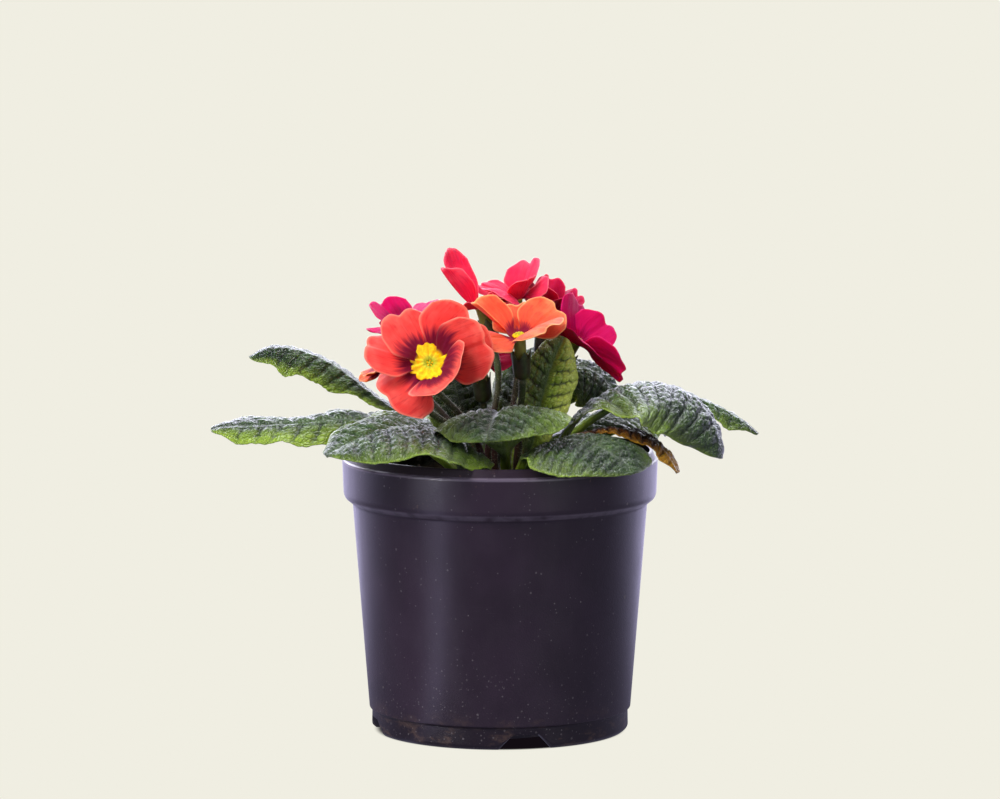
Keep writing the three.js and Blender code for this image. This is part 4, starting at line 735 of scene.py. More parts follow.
def stalk_form(bloom, seed):
    """The hairy stalk, as a tube along a cubic curve, and the ribbed cup with its five teeth."""
    axes = bloom_axes(bloom)
    centre, top, _, out = axes
    foot = np.array([*bloom["foot"], COMPOST_TOP - FOOT_DEPTH])
    end = centre - out * STALK_END
    path = bezier_path(foot, foot + np.array([0, 0, STALK_RISE]), end - out * STALK_REACH, end)
    rows, around = STALK_GRID
    share = np.linspace(0, 1, rows)
    middle, forward = along_path(path, share)
    up = unit(top - forward * (forward @ top)[:, None])
    side = np.cross(forward, up)
    azimuth = full_turn(around)[..., None]
    thick = STALK_RADIUS * (1 + 0.12 * smoothstep(share, 0.75, 1.0) + 0.05 * np.sin(9 * share))
    round_it = up[:, None] * np.cos(azimuth) + side[:, None] * np.sin(azimuth)
    skin = middle[:, None] + thick[:, None, None] * round_it
    points = np.vstack([middle[:1], skin.reshape(-1, 3), middle[-1:]])
    along = np.concatenate([[0], np.repeat(share, around), [1]])
    form = Form()
    form.add(points, turned_faces(rows, around), along=along, cup=0.0)

    turn = full_turn(CUP_POINTS)
    corner = np.abs(((turn * 5 / (2 * np.pi)) % 1) * 2 - 1)
    tooth = corner**1.25
    ridge = corner**2
    rows = [(radius + share_out * 0.38 * ridge, height) for height, radius, share_out in CUP_OUTSIDE]
    rows += [(flare + 0.3 * ridge, -6.8 + 3.1 * tooth * share_up) for share_up, flare in TEETH_OUTSIDE]
    rows += [(flare + 0.2 * ridge, -6.85 + 3.0 * tooth * share_up) for share_up, flare in TEETH_INSIDE]
    radius, height = stacked([*rows, CUP_BOTTOM], CUP_POINTS)
    rib = np.concatenate([[0], np.broadcast_to(ridge, radius.shape).ravel(), [0]])
    form.turn(axes, radius, height, turn, along=0.6 + 0.4 * rib, cup=1.0)

    random = np.random.default_rng(seed)
    pick = random.uniform(0.12, 1.0, STALK_HAIRS)
    about = random.uniform(0, 2 * np.pi, (STALK_HAIRS, 1))
    root, forward = along_path(path, pick)
    up = unit(top - forward * (forward @ top)[:, None])
    normal = up * np.cos(about) + np.cross(forward, up) * np.sin(about)
    add_hairs(form, root + STALK_RADIUS * normal, normal, random, along=1.3, cup=0.0)
    return form


# ---- pot -------------------------------------------------------------------

POT_STEPS = 240
SKIRT_RADIUS, SKIRT_INSIDE = 42.8, 39.5
FLOOR_HEIGHT = 5.2
NOTCH_AZIMUTH = -78.3
NOTCH_BOTTOM, NOTCH_TOP, NOTCH_HEIGHT = 9.2, 4.25, 5.0
DRAIN_HOLES, DRAIN_CIRCLE, DRAIN_RADIUS, DRAIN_TURN = 8, 33.0, 3.4, 22.5
DRAIN_POINTS, DRAIN_HEIGHTS = 24, np.array([[3.0], [9.0]])
RIB_LOW, RIB_HIGH = (23.3, -0.5, 1.2), (40.6, 0.5, 5.25)

# Radius, height and corner radius, from the middle of the underside up the outside and back down.
POT_SECTION = [
    (21, 0, 0.6), (23, 5.2, 0.6), (40.9, 5.2, 0.3), (40.2, 0, 0.3), (41.4, 0, 0.4), (42.8, 1.2, 0.8),
    (42.7, 7.2, 0.25), (43.6, 7.8, 0.3), (43.7, 9, 0.6), (49.05, 76.3, 0.5), (51.6, 78.4, 0.5),
    (52.1, 79.8, 0.9), (52.5, 90.3, 0.5), (52.35, 91.0, 0.4), (51.8, 91.25, 0.3), (50.7, 94, 0.4),
    (49.7, 94, 0.3), (51.2, 90.4, 0.6), (50.7, 80, 0.6), (47.9, 77.3, 0.6), (42.4, 8.4, 1.4),
    (41, 6.4, 1.0), (23.8, 6.4, 0.8), (21.8, 1.2, 0.6),
]


def rounded_section(corners, steps=4):
    """The outline through the corners, each corner replaced by a curve of its own radius."""
    points = np.array([(r, h) for r, h, _ in corners])
    outline = [points[:1]]
    t = np.linspace(0, 1, steps + 1)[:, None]
    for i in range(1, len(points) - 1):
        before, here, after = points[i - 1 : i + 2]
        room = 0.42 * min(np.linalg.norm(before - here), np.linalg.norm(after - here))
        size = min(corners[i][2], room)
        a, b = here + unit(before - here) * size, here + unit(after - here) * size
        outline.append(a * (1 - t) ** 2 + 2 * here * t * (1 - t) + b * t**2)
    outline.append(points[-1:])
    return np.vstack(outline)


def pot_form():
    """The pot's outline turned round its axis, its foot lifted into four tapered notches."""
    section = rounded_section(POT_SECTION)
    notches = NOTCH_AZIMUTH + 90.0 * np.arange(4)
    turns = [np.linspace(0, 360, POT_STEPS, endpoint=False)]
    for half in (NOTCH_BOTTOM, NOTCH_TOP):
        for sign in (-1, 1):
            at = notches + sign * np.degrees(half / SKIRT_RADIUS)
            turns += [(at - 0.25) % 360, (at + 0.25) % 360]
    degrees = np.unique(np.round(np.concatenate(turns), 4))
    off = (degrees[None, :] - notches[:, None] + 180) % 360 - 180
    arc = SKIRT_RADIUS * np.radians(np.abs(off).min(axis=0))
    notch = NOTCH_HEIGHT * np.clip((NOTCH_BOTTOM - arc) / (NOTCH_BOTTOM - NOTCH_TOP), 0, 1)[None, :]
    radius = section[:, :1] + 0 * notch
    height = section[:, 1:] + 0 * notch
    in_skirt = (radius > SKIRT_INSIDE) & (height < FLOOR_HEIGHT)
    height = np.where(in_skirt, height + notch * (1 - height / FLOOR_HEIGHT), height)
    form = Form()
    form.turn(UPRIGHT, radius, height, np.radians(degrees)[None, :])
    return form


def add_block(form, low, high, azimuth):
    """Adds a plain block between two corners, turned about the pot's axis."""
    corner = np.array([[x, y, z] for z in (low[2], high[2]) for x, y in (
        (low[0], low[1]), (high[0], low[1]), (high[0], high[1]), (low[0], high[1]))], float)
    c, s = math.cos(azimuth), math.sin(azimuth)
    turned_corner = corner @ np.array([[c, s, 0], [-s, c, 0], [0, 0, 1]])
    form.add(turned_corner, np.array([(3, 2, 1, 0), (4, 5, 6, 7), (0, 1, 5, 4), (1, 2, 6, 5),
                                      (2, 3, 7, 6), (3, 0, 4, 7)]))


def cut_drain_holes(pot):
    """Cuts a ring of eight round holes through the pot's floor."""
    cutters = Form()
    for k in range(DRAIN_HOLES):
        about = math.radians(NOTCH_AZIMUTH + DRAIN_TURN + 360 / DRAIN_HOLES * k)
        place = np.array([DRAIN_CIRCLE * math.cos(about), DRAIN_CIRCLE * math.sin(about), 0])
        cutters.turn((place, *UPRIGHT[1:]), DRAIN_RADIUS, DRAIN_HEIGHTS, full_turn(DRAIN_POINTS))
    mesh = bpy.data.meshes.new("drain holes")
    mesh.from_pydata((np.vstack(cutters.points) * MM).tolist(), [],
                     [face for block in cutters.faces for face in block.tolist()])
    cutter = bpy.data.objects.new("drain holes", mesh)
    SCENE.collection.objects.link(cutter)
    cut = pot.modifiers.new("drain holes", "BOOLEAN")
    cut.operation, cut.solver, cut.object = "DIFFERENCE", "EXACT", cutter
    result = bpy.data.meshes.new_from_object(pot.evaluated_get(bpy.context.evaluated_depsgraph_get()))
    pot.modifiers.clear()
    pot.data = result
    bpy.data.objects.remove(cutter)


# ---- compost ---------------------------------------------------------------

COMPOST_RADIUS = 50.35
COMPOST_POINTS, COMPOST_RINGS = 220, 78
LOOSE_BITS, BITS_RADIUS, BITS_SEED = 420, 48.5, 11

# Radius and height of the rings below the compost's top, from its underside up the pot's wall.
COMPOST_SECTION = [(21.2, 1.55), (23, 6.8), (41.2, 6.8), (42.1, 9), (47.5, 77.5), (COMPOST_RADIUS, 80.5),
                   (COMPOST_RADIUS, 83.8)]


def compost_height(x, y):
    """The compost's surface: gentle lumps, crumbly all over, level where the stalks stand."""
    distance = np.hypot(x, y)
    lumps = np.sin(0.31 * x + 1.3) * np.cos(0.27 * y - 0.4) + np.sin(0.19 * (x + y))
    ring = smoothstep(distance, 20, 30) * (1 - smoothstep(distance, 44, 50))
    crumbs = 0.7 * (smoothstep(cell_gap(x / 3.1 + 30, y / 3.1 + 30, 5), 0, 0.5) - 0.5)
    crumbs += 0.4 * (smoothstep(cell_gap(x / 1.4 + 30, y / 1.4 + 30, 6), 0, 0.5) - 0.5)
    return COMPOST_TOP + 1.1 * lumps * ring + crumbs


def ball():
    """Corners and faces of a small rough lump: three rings of six corners between two poles."""
    rise = np.array([[-0.7], [0.0], [0.7]])
    return turned_points(UPRIGHT, np.sqrt(1 - rise**2), 1.25 * rise, full_turn(6)), turned_faces(3, 6)


def add_lumps(form, places, sizes, random, **values):
    """Adds rough lumps at places, each of its own size, squash and turn."""
    points, faces = ball()
    count = len(places)
    stretch = sizes[:, None] * random.uniform(0.6, 1.25, (count, 3))
    bumpy = points[None] * stretch[:, None] * random.uniform(0.8, 1.2, (count, len(points), 1))
    turn = random.uniform(0, 2 * np.pi, count)
    c, s = np.cos(turn)[:, None], np.sin(turn)[:, None]
    x, y = bumpy[..., 0] * c - bumpy[..., 1] * s, bumpy[..., 0] * s + bumpy[..., 1] * c
    whole = np.stack([x, y, bumpy[..., 2]], axis=-1) + places[:, None]
    base = (len(points) * np.arange(count))[:, None, None]
    form.add(whole, [(block[None] + base).reshape(-1, block.shape[1]) for block in faces], **values)


def compost_form():
    """A body that fills the pot, its top a fine crumbly disc strewn with loose bits."""
    section = np.array(COMPOST_SECTION)
    top = np.linspace(COMPOST_RADIUS - 0.6, 0.8, COMPOST_RINGS)
    azimuth = full_turn(COMPOST_POINTS)
    radius = np.concatenate([section[:, 0], top])[:, None] + 0 * azimuth
    x, y = radius * np.cos(azimuth), radius * np.sin(azimuth)
    height = compost_height(x, y) - 1.3 * smoothstep(radius, COMPOST_RADIUS - 2.5, COMPOST_RADIUS)
    height[: len(section)] = section[:, 1:]
    form = Form()
    form.turn(UPRIGHT, radius, height, azimuth, bit=0.0)
    random = np.random.default_rng(BITS_SEED)
    away = BITS_RADIUS * np.sqrt(random.uniform(0, 1, LOOSE_BITS))
    about = random.uniform(0, 2 * np.pi, LOOSE_BITS)
    x, y = away * np.cos(about), away * np.sin(about)
    size = random.uniform(0.35, 1.1, LOOSE_BITS) ** 1.5
    places = np.stack([x, y, compost_height(x, y) + 0.25 * size], axis=-1)
    kind = np.repeat(random.uniform(0, 1, LOOSE_BITS), len(ball()[0]))
    add_lumps(form, places, size, random, bit=0.3 + 0.7 * kind)
    return form


# ---- writing node trees ----------------------------------------------------


class Signal:
    """A node's output that is written like a number: each step of arithmetic adds a Math node."""

    def __init__(self, socket):
        self.socket, self.tree = socket, socket.id_data

    def other(self, name):
        """Another output of the same node."""
        return Signal(self.socket.node.outputs[name])

    def __mul__(self, factor):
        return maths("MULTIPLY", self, factor)

    def __sub__(self, term):
        return maths("SUBTRACT", self, term)

    def __rsub__(self, whole):
        return maths("SUBTRACT", whole, self)


def feed(tree, sockets, values):
    """Links the signals to their sockets and sets the rest; a colour gets full cover."""
    for key, value in dict(values).items():
        if isinstance(value, Signal):
            tree.links.new(value.socket, sockets[key])
        elif sockets[key].type == "RGBA":
            sockets[key].default_value = (*value, 1.0)
        else:
            sockets[key].default_value = value


def put(tree, kind, inputs=(), out=0, **settings):
    """Adds a node and gives one of its outputs. Inputs go by name or number."""
    node = tree.nodes.new("ShaderNode" + kind)
    for key, value in settings.items():
        setattr(node, key, value)
    feed(tree, node.inputs, inputs)
    return Signal(node.outputs[out])


def maths(operation, *values, clamp=False):
    """One step of arithmetic on numbers and signals."""
    tree = next(value.tree for value in values if isinstance(value, Signal))
    return put(tree, "Math", dict(enumerate(values)), operation=operation, use_clamp=clamp)


def scaled(value, factor, offset):
    """A signal times a factor, plus an offset."""
    return maths("MULTIPLY_ADD", value, factor, offset)


def most(first, second):
    """The larger of two signals."""
    return maths("MAXIMUM", first, second)


def mix(share, first, second):
    """Colour between two colours."""
    return put(share.tree, "Mix", {0: share, 6: first, 7: second}, out=2, data_type="RGBA")


def ramp(value, low, high):
    """0 below low, 1 above high, smooth between; where low is above high, the other way round."""
    return put(value.tree, "MapRange", {0: value, 1: low, 2: high}, interpolation_type="SMOOTHSTEP")


def value_of(tree, name):
    """A named value that the surface carries."""
    return put(tree, "Attribute", out="Fac", attribute_name=name)


def place(tree, scale=(1.0, 1.0, 1.0)):
    """Object coordinates in millimetres, scaled along each axis."""
    coordinates = put(tree, "TexCoord", out="Object")
    return put(tree, "Mapping", {0: coordinates, 3: tuple(s / MM for s in scale)})


def surface_uv(tree):
    """The surface's own coordinates."""
    return put(tree, "UVMap", uv_map="surface")


def noise(vector, scale, detail=2.0, roughness=0.5):
    """Soft random values between 0 and 1."""
    return put(vector.tree, "TexNoise", {"Vector": vector, "Scale": scale, "Detail": detail,
                                         "Roughness": roughness})


# ---- effects that several finishes share -----------------------------------


def new_group(name, starts, outputs, effect):
    """A node group: its inputs with their first values, its outputs, and the effect between them."""
    tree = bpy.data.node_groups.new(name, "ShaderNodeTree")
    for label, start in starts.items():
        socket = tree.interface.new_socket(name=label, in_out="INPUT", socket_type="NodeSocketFloat")
        socket.default_value = start
    for label, kind in outputs.items():
        tree.interface.new_socket(name=label, in_out="OUTPUT", socket_type="NodeSocket" + kind)
    given = tree.nodes.new("NodeGroupInput").outputs
    made = effect(tree, *[Signal(given[label]) for label in starts])
    feed(tree, tree.nodes.new("NodeGroupOutput").inputs, dict(zip(outputs, made)))
    return tree


def fine_grain(tree, size, depth):
    """A fine bump in the surface, from noise of a given size in millimetres."""
    height = noise(place(tree), maths("DIVIDE", 1.0, size), 3.0)
    return [put(tree, "Bump", {"Height": height, "Strength": depth, "Distance": 0.4 * MM})]


def dust_specks(tree, spacing, amount):
    """A mask of scattered specks, each in the middle of a random cell, of mixed sizes."""
    pitch = maths("DIVIDE", 1.0, spacing)
    ragged = put(tree, "TexNoise", {"Vector": place(tree), "Scale": 2.0}, out="Color")
    where = put(tree, "MixRGB", {0: 0.12, 1: place(tree), 2: ragged}, blend_type="ADD")
    distance = put(tree, "TexVoronoi", {"Vector": where, "Scale": pitch}, out="Distance")
    pick = put(tree, "SeparateColor", {0: distance.other("Color")}, out="Red")
    return [maths("LESS_THAN", distance, pick * amount * pick.other("Green"))]


def scratches(tree, cover):
    """A mask of thin streaks, from noise drawn out along the turn of the pot."""
    streak = noise(place(tree, (0.05, 0.05, 2.2)), 1.0, 4.0, 0.7)
    where = noise(place(tree, (0.06, 0.06, 0.09)), 1.0, 1.0)
    return [ramp(streak, cover, maths("ADD", cover, 0.08)) * ramp(where, 0.45, 0.65)]


def petal_rays(tree, from_eye, across, reach):
    """The dark halo round an eye, whose edge runs out in rays along each petal, and fine veins."""

    def drawn_out(wide, long):
        return put(tree, "CombineXYZ", {0: across * wide, 1: from_eye * long})

    ray = noise(drawn_out(17.0, 0.35), 1.0, 2.0, 0.6)
    halo = ramp(scaled(ray - 0.5, 1.5, reach) - from_eye, -0.3, 0.6)
    return [halo, ramp(noise(drawn_out(34.0, 0.8), 1.0, 3.0, 0.65), 0.5, 0.68)]


# The shared effects, each made once as a node group.
EFFECTS = {
    "grain": new_group("fine grain", {"Size": 1.0, "Depth": 0.1}, {"Normal": "Vector"}, fine_grain),
    "dust": new_group("dust specks", {"Spacing": 3.0, "Amount": 0.3}, {"Mask": "Float"}, dust_specks),
    "scratches": new_group("scratches", {"Cover": 0.62}, {"Mask": "Float"}, scratches),
    "rays": new_group("petal rays", {"From eye": 1.0, "Across": 0.5, "Reach": 1.9},
                      {"Halo": "Float", "Veins": "Float"}, petal_rays),
}


def use(tree, effect, *values):
    """Places a shared effect, its inputs in their order, and gives its first output."""
    node = tree.nodes.new("ShaderNodeGroup")
    node.node_tree = EFFECTS[effect]
    feed(tree, node.inputs, enumerate(values))
    return Signal(node.outputs[0])


# ---- finishes --------------------------------------------------------------
# Each one gives the sockets of the material's shader.


def flesh(weight, radius, depth):
    """Light that spreads under a living skin, to a depth in millimetres."""
    return dict(Subsurface_Weight=weight, Subsurface_Radius=radius, Subsurface_Scale=depth * MM)


def leaf_finish(tree, dark, light, vein_colour, under, margin, sheen=0.1, gloss=0.75):
    """A net-veined leaf: mottled top, with painted highlight on its puffed cells and painted shade in
    the grooves of its net, paler veins and underside, a margin that lets light through.
    """
    vein, puff, top, far, along, glow = (
        value_of(tree, key) for key in ("vein", "puff", "top", "far", "along", "glow"))
    here = place(tree)
    ranks = put(tree, "Mapping", {0: surface_uv(tree), 3: (4.0, 2.0, 1.0)})
    cells = put(tree, "TexVoronoi", {"Vector": ranks, "Scale": 1.0}, "Distance", feature="DISTANCE_TO_EDGE")
    cells = ramp(cells, 0.0, 0.22)
    patches = noise(here, 0.09, 3.0)
    colour = mix(ramp(patches, 0.35, 0.68), dark, light)
    # Painted highlight: the crowns of the puffed cells lighter.
    colour = mix(ramp(puff, -0.2, 0.9) * 0.55, colour, light)
    through = most(ramp(far, 0.45, 1.0) * ramp(patches, 0.3, 0.6) * 0.45, glow)
    colour = mix(through, colour, margin)
    colour = mix(ramp(glow, 1.0, 2.0), colour, (0.8, 0.92, 0.2))
    # Painted shade: the grooves of the vein net and those between the puffed cells darker.
    net = most((1.0 - cells) * 0.25, ramp(puff, 0.25, -0.7) * 0.8)
    colour = mix(net, colour, dark)
    colour = mix(ramp(vein, 0.85, 1.0) * 0.45, colour, vein_colour)
    colour = mix(ramp(far, 0.94, 1.0) * 0.5, colour, margin)
    colour = mix(top, mix(vein * 0.5, under, margin), colour)
    colour = mix(ramp(along * -1.0, 0.0, 0.25), colour, margin)
    normal = put(tree, "Bump", {"Height": cells, "Strength": 0.7, "Distance": 0.3 * MM,
                                "Normal": use(tree, "grain", 0.5, 0.3)})
    return dict(Base_Color=colour, Roughness=scaled(noise(here, 0.8), 0.24, 0.2), Normal=normal,
                Specular_IOR_Level=gloss, Sheen_Weight=sheen, Sheen_Roughness=0.35,
                Sheen_Tint=(0.75, 0.75, 1.0), **flesh(0.35, (1.0, 1.0, 0.35), 1.4))


def petal_finish(tree, body, halo, rim, vein, reach=1.9):
    """A soft petal: a dark rayed halo near the eye, fine veins, a paler rim and a faint velvet."""
    across = put(tree, "SeparateXYZ", {0: surface_uv(tree)})
    from_eye, along, top, tint = (value_of(tree, key) for key in ("eye", "along", "top", "tint"))
    dark_rays = use(tree, "rays", from_eye, scaled(tint, 3.0, across), reach)
    patches = noise(place(tree), 0.22)
    colour = mix(ramp(along, 0.3, 1.0) * ramp(patches, 0.3, 0.8) * 0.5, body, rim)
    colour = mix(dark_rays.other("Veins") * 0.42, colour, vein)
    aside = maths("ABSOLUTE", scaled(across, 2.0, -1.0))
    colour = mix(most(ramp(along, 0.93, 1.0), ramp(aside, 0.92, 1.0)) * 0.85, colour, rim)
    colour = mix(dark_rays * scaled(top, 0.6, 0.3), colour, halo)
    colour = mix(1.0 - ramp(from_eye, 0.75, 1.0), colour, (0.9, 0.55, 0.0))
    colour = mix(ramp(along * -1.0, 0.1, 0.5), colour, (0.2, 0.2, 0.05))
    return dict(Base_Color=colour, Roughness=scaled(patches, 0.2, 0.42), Normal=use(tree, "grain", 0.22, 0.3),
                Specular_IOR_Level=0.04, Sheen_Weight=0.03, Sheen_Roughness=0.3,
                Sheen_Tint=(1.0, 0.6, 0.65), **flesh(0.5, (1.0, 0.45, 0.35), 1.6))


def eye_finish(tree):
    """Egg-yellow folds, greener towards the throat."""
    share = value_of(tree, "share")
    warm = mix(ramp(noise(place(tree), 0.9), 0.35, 0.7), (1.0, 0.5, 0.0), (1.0, 0.68, 0.01))
    colour = mix(ramp(share, 0.05, 0.42), (0.5, 0.5, 0.02), warm)
    colour = mix(ramp(share, 0.9, 1.0), colour, (1.0, 0.28, 0.0))
    return dict(Base_Color=colour, Roughness=ramp(share, -3.0, 2.5), Normal=use(tree, "grain", 0.3, 0.3),
                **flesh(0.5, (1.0, 0.7, 0.2), 1.2))


def stalk_finish(tree):
    """Dull green stalks and cups darkened as painted shade, flushed reddish-brown near the foot and
    deepened there to near black as painted shade, with silvery hairs.
    """
    along, here = value_of(tree, "along"), place(tree)
    # Painted shade: the greens darkened and the foot kept near black, since the stalks stand in the rosette's
    # shadow.
    green = mix(ramp(noise(here, 0.35), 0.3, 0.7), (0.022, 0.036, 0.01), (0.05, 0.072, 0.02))
    colour = mix(ramp(along, 0.35, 0.95), (0.035, 0.014, 0.012), green)
    colour = mix(ramp(along, 1.1, 1.25), colour, (0.3, 0.32, 0.22))
    return dict(Base_Color=colour, Roughness=scaled(noise(here, 1.5), 0.2, 0.4),
                Normal=use(tree, "grain", 0.3, 0.3), **flesh(0.3, (1.0, 1.0, 0.4), 1.2))


def pot_finish(tree):
    """Satin aubergine-black plastic: dusty, lightly scratched, with painted highlight lines along the
    collar's top and bottom edges, crumbs stuck near the collar and soil dried on its foot."""
    here = place(tree)
    height = put(tree, "SeparateXYZ", {0: here}, out=2)

    def band(low, full_low, full_high, high):
        return ramp(height, low, full_low) * ramp(height, high, full_high)

    base = mix(ramp(noise(here, 0.05, 3.0), 0.35, 0.7), (0.019, 0.011, 0.02), (0.026, 0.015, 0.028))
    film = ramp(noise(place(tree, (1, 1, 0.5)), 0.16, 4.0, 0.65), 0.2, 0.9)
    base = mix(film * 0.05, base, (0.11, 0.1, 0.12))
    # Painted shade: the foot below the body's ledge, under 8 mm, darkened to near black.
    base = mix(ramp(height, 8.0, 7.2) * 0.6, base, (0.005, 0.003, 0.005))
    specks = most(use(tree, "dust", 1.7, 0.25) * 0.35, use(tree, "dust", 7.0, 0.12) * 0.6)
    specks = most(specks, use(tree, "dust", 1.2, 0.34) * ramp(height, 42.0, 8.0) * 0.4)
    base = mix(specks, base, (0.2, 0.18, 0.2))
    crumbs = ramp(noise(here, 0.8, 3.0, 0.7), 0.62, 0.67) * ramp(noise(here, 0.09, 1.0), 0.56, 0.62)
    base = mix(crumbs * ramp(height, 70.0, 84.0) * 0.5, base, (0.13, 0.075, 0.065))
    base = mix(use(tree, "scratches", 0.63) * 0.1, base, (0.14, 0.13, 0.16))
    # Painted highlight: pale lavender lines along the collar's top corner and under the collar, where its
    # edges catch the light.
    painted_edge_highlight = most(band(90.0, 90.5, 91.1, 91.6), band(76.6, 77.2, 78.2, 79.0))
    base = mix(painted_edge_highlight * ramp(noise(here, 0.2), 0.1, 0.6) * 0.75, base, (0.16, 0.13, 0.19))
    soil = ramp(noise(place(tree, (1, 1, 2)), 0.11, 4.0, 0.7), 0.5, 0.68)
    base = mix((1.0 - ramp(height, 2.0, 14.0)) * soil * 0.7, base, (0.1, 0.062, 0.05))
    rough = maths("MAXIMUM", scaled(film, 0.08, 0.3), specks * 1.2, clamp=True)
    return dict(Base_Color=base, Roughness=rough, Normal=use(tree, "grain", 0.5, 0.12))


def compost_finish(tree):
    """Dark crumbly compost; the loose bits run from black to tan fibre."""
    here = place(tree)
    soil = mix(ramp(noise(here, 0.7, 4.0), 0.35, 0.7), (0.012, 0.008, 0.006), (0.05, 0.033, 0.022))
    colour = mix(ramp(value_of(tree, "bit"), 0.75, 1.0), soil, (0.16, 0.1, 0.06))
    return dict(Base_Color=colour, Roughness=scaled(noise(here, 2.0), 0.2, 0.75),
                Normal=use(tree, "grain", 0.4, 0.9))


# Name, finish and its colours: dark, light, vein, underside and margin of a leaf (then its sheen
# and gloss), or body, halo, rim and vein of a petal (then the reach of the halo in eye radii).
FINISHES = {
    "leaf": ("green leaf", leaf_finish, (0.012, 0.028, 0.009), (0.05, 0.1, 0.022), (0.12, 0.18, 0.06),
             (0.14, 0.22, 0.05), (0.32, 0.47, 0.05)),
    # The inner leaf is the green leaf painted darker: painted shade for the leaves deep in the rosette.
    "shaded_inner_leaf": ("inner leaf in painted shade", leaf_finish, (0.008, 0.017, 0.006), (0.032, 0.058, 0.016),
                   (0.07, 0.1, 0.035), (0.1, 0.16, 0.04), (0.18, 0.26, 0.035), 0.03, 0.2),
    "old_leaf": ("old leaf", leaf_finish, (0.05, 0.018, 0.014), (0.16, 0.06, 0.025), (0.3, 0.14, 0.04),
                 (0.2, 0.1, 0.04), (0.85, 0.42, 0.03), 0.1, 0.5),
    "eye": ("yellow eye", eye_finish),
    "stalk": ("hairy stalk", stalk_finish),
    "pot": ("aubergine pot", pot_finish),
    "compost": ("compost", compost_finish),
    "petals_coral": ("coral petals", petal_finish, (0.8, 0.06, 0.055), (0.1, 0.003, 0.03),
                     (0.95, 0.23, 0.17), (0.5, 0.012, 0.035), 2.1),
    "petals_orange": ("orange petals", petal_finish, (0.82, 0.1, 0.048), (0.16, 0.005, 0.04),
                      (0.96, 0.34, 0.14), (0.6, 0.03, 0.05), 2.5),
    "petals_magenta": ("magenta petals", petal_finish, (0.46, 0.003, 0.085), (0.2, 0.001, 0.04),
                       (0.55, 0.01, 0.12), (0.24, 0.0, 0.04)),
    "petals_pink": ("pink petals", petal_finish, (0.74, 0.02, 0.075), (0.3, 0.004, 0.04),
                    (0.95, 0.13, 0.2), (0.4, 0.003, 0.05)),
    "petals_crimson": ("crimson petals", petal_finish, (0.36, 0.005, 0.045), (0.2, 0.002, 0.03),
                       (0.6, 0.03, 0.1), (0.2, 0.0, 0.03)),
}


def make_material(name, finish, *values):
    """A material whose Principled shader takes the sockets that a finish gives."""
    material = bpy.data.materials.new(name)
    material.use_nodes = True
    tree = material.node_tree
    shader = next(node for node in tree.nodes if node.type == "BSDF_PRINCIPLED")
    sockets = finish(tree, *values)
    feed(tree, shader.inputs, {key.replace("_", " "): value for key, value in sockets.items()})
    return material


# ---- the plant and its pot -------------------------------------------------

# Leaves that stand at the back and get a coarser grid of points, and the grids: rows, columns.
BACK_LEAVES = ("leaf_far_right", "leaf_back_inner", "leaf_back_left", "leaf_back", "leaf_back_middle",
               "leaf_back_right")
LEAF_GRID, BACK_LEAF_GRID = (126, 73), (84, 49)
FRONT_PETAL_GRID, PETAL_GRID = (60, 53), (38, 33)


def make_plant(finishes):
    """Every leaf, and every bloom as its petals, its eye and its stalk."""
    for number, (name, leaf) in enumerate(LEAVES.items()):
        rows, columns = BACK_LEAF_GRID if name in BACK_LEAVES else LEAF_GRID
        slot = leaf.get("slot", "leaf")
        build("fine_" + name, leaf_form(leaf, rows, columns, number),
              finishes[leaf.get("finish", slot)], [name])
    for number, (name, bloom) in enumerate(BLOOMS.items()):
        grid = FRONT_PETAL_GRID if name == "bloom_front" else PETAL_GRID
        forms = {"petals": petals_form(bloom, *grid, number + PETAL_SEED),
                 "eye": eye_form(bloom, EYE_POINTS, number), "stalk": stalk_form(bloom, number)}
        for part, form in forms.items():
            slot = "petals_" + bloom["colour"] if part == "petals" else part
            build(f"fine_{name}_{part}", form, finishes[slot], [f"{name}_{part}"])


def make_pot(finishes):
    """The pot with its four ribs underneath and its drain holes, and the compost in it."""
    body = pot_form()
    for k in range(4):
        add_block(body, RIB_LOW, RIB_HIGH, math.radians(NOTCH_AZIMUTH + 90 * k))
    pot = build("fine_pot", body, finishes["pot"], ["pot"])
    cut_drain_holes(pot)
    build("fine_compost", compost_form(), finishes["compost"], ["compost"])


# ---- floor and light -------------------------------------------------------

PALE = (0.871, 0.855, 0.761)
FLOOR_SIZE, FLOOR_BACK = 60.0, 20.0
# Painted shadow under the pot's foot: the floor is near black within these distances from the axis.
FOOT_SHADE = (39.5 * MM, 42.5 * MM)  # the dark patch ends between these distances from the axis
STREAK_SIDE = (0.69, -0.725, 0.0)  # level, and square to the streak


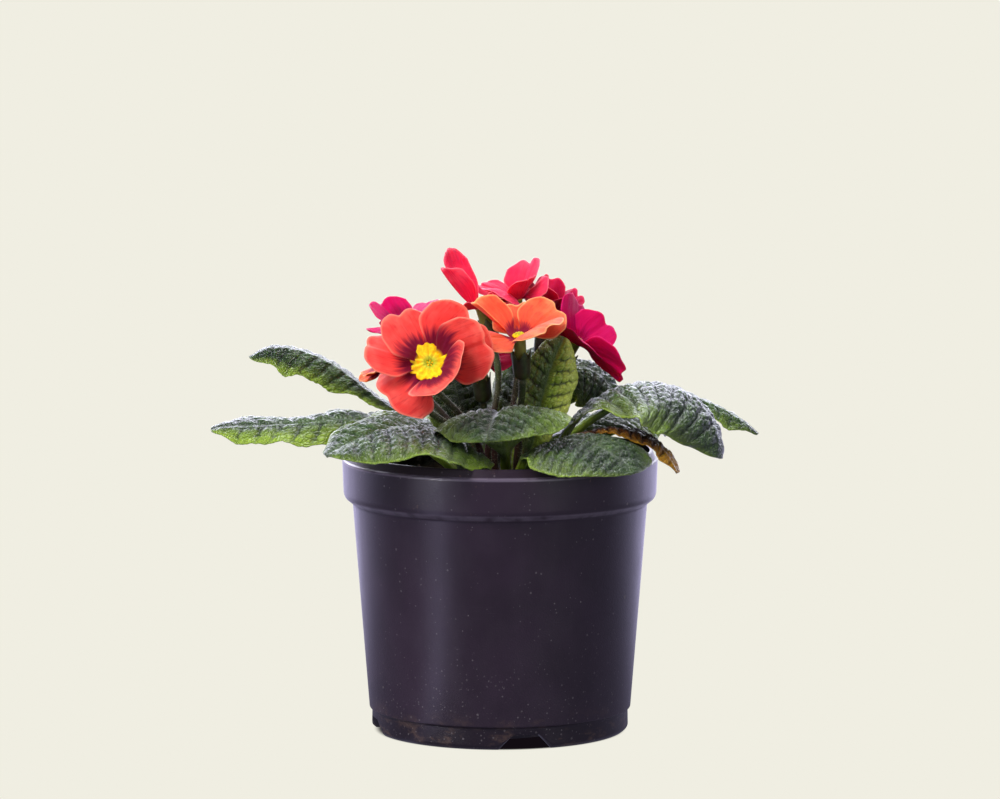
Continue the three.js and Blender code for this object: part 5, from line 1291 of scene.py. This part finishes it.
def make_floor():
    """A wide cream floor: even for the camera, and near black right under the pot's foot as a painted shadow.

    In reflections it is bright behind the pot and in a streak to the front left, and as a light
    it is dim.
    """
    bpy.ops.mesh.primitive_plane_add(size=FLOOR_SIZE, location=(0.0, FLOOR_BACK, 0.0))
    floor = bpy.context.object
    floor.name = "floor"
    material = bpy.data.materials.new("cream floor")
    material.use_nodes = True
    tree = material.node_tree
    tree.nodes.clear()
    spot = put(tree, "NewGeometry", out="Position")
    depth = put(tree, "SeparateXYZ", {0: spot}, out=1)
    away = put(tree, "VectorMath", {0: spot}, "Value", operation="LENGTH")
    aside = put(tree, "VectorMath", {0: spot, 1: STREAK_SIDE}, "Value", operation="DOT_PRODUCT")
    turn = maths("ABSOLUTE", maths("DIVIDE", aside, away))
    streak = ramp(turn, 0.13, 0.03) * ramp(depth, -0.02, -0.08)
    bright = scaled(streak, 2.4, scaled(ramp(depth, 0.0, 0.45), 2.1, 0.3))
    glossy = put(tree, "LightPath", out="Is Glossy Ray")
    camera = glossy.other("Is Camera Ray")
    # Painted shadow: the floor near black under the pot's foot, seen through the notches.
    seen = mix(ramp(away, *FOOT_SHADE), (0.006, 0.004, 0.006), PALE)
    shade = mix(glossy, (0.16, 0.155, 0.15), (0.7, 0.66, 1.0))
    strength = most(most(glossy * bright, 1.0 - glossy), camera)
    glow = put(tree, "Emission", {"Color": mix(camera, shade, seen), "Strength": strength})
    feed(tree, tree.nodes.new("ShaderNodeOutputMaterial").inputs, {"Surface": glow})
    floor.data.materials.append(material)


MIDDLE = (0.0, 0.0, 0.11)

# Name, place, aim, width and height, power, colour, and whether reflections show it; in metres and
# watts.
LIGHTS = [
    ("back panel", (0.0, 1.3, 0.75), MIDDLE, (2.4, 0.9), 40.0, (0.84, 0.84, 1.0), True),
    ("top panel", (0.1, 0.15, 1.2), MIDDLE, (0.6, 0.6), 8.0, (0.95, 0.96, 1.0), True),
    ("key", (-0.75, -0.75, 1.25), MIDDLE, (0.8, 0.8), 25.0, (1.0, 0.97, 0.93), False),
    ("strip", (-1.15, -0.98, 0.15), (0.0, 0.0, 0.05), (0.12, 0.9), 9.0, (0.95, 0.95, 1.0), True),
    ("fill", (0.9, -1.3, 0.45), MIDDLE, (0.6, 0.6), 6.0, (0.95, 0.97, 1.0), True),
]


def make_light(name, place_at, aim, size, power, colour, reflected):
    """A soft rectangular light that looks at a point."""
    lamp = bpy.data.lights.new(name, "AREA")
    lamp.shape, lamp.size, lamp.size_y = "RECTANGLE", size[0], size[1]
    lamp.energy, lamp.color = power, colour
    holder = bpy.data.objects.new(name, lamp)
    SCENE.collection.objects.link(holder)
    way = np.array(aim, float) - np.array(place_at, float)
    holder.location = place_at
    holder.rotation_euler = (math.acos(-way[2] / np.linalg.norm(way)), 0.0, math.atan2(-way[0], way[1]))
    holder.visible_camera = False
    holder.visible_glossy = reflected


def make_sky():
    """A dim violet-white surround that grows brighter behind the plant."""
    world = bpy.data.worlds.new("studio")
    world.use_nodes = True
    tree = world.node_tree
    back = put(tree, "SeparateXYZ", {0: put(tree, "TexCoord", out="Generated")}, out=1)
    feed(tree, tree.nodes["Background"].inputs,
         {"Color": (0.82, 0.8, 1.0), "Strength": scaled(ramp(back, 0.3, 0.95), 1.3, 0.14)})
    SCENE.world = world
    SCENE.view_settings.view_transform = "Standard"


place_camera()
made = {slot: make_material(*row) for slot, row in FINISHES.items()}
make_plant(made)
make_pot(made)
make_floor()
make_sky()
for row in LIGHTS:
    make_light(*row)
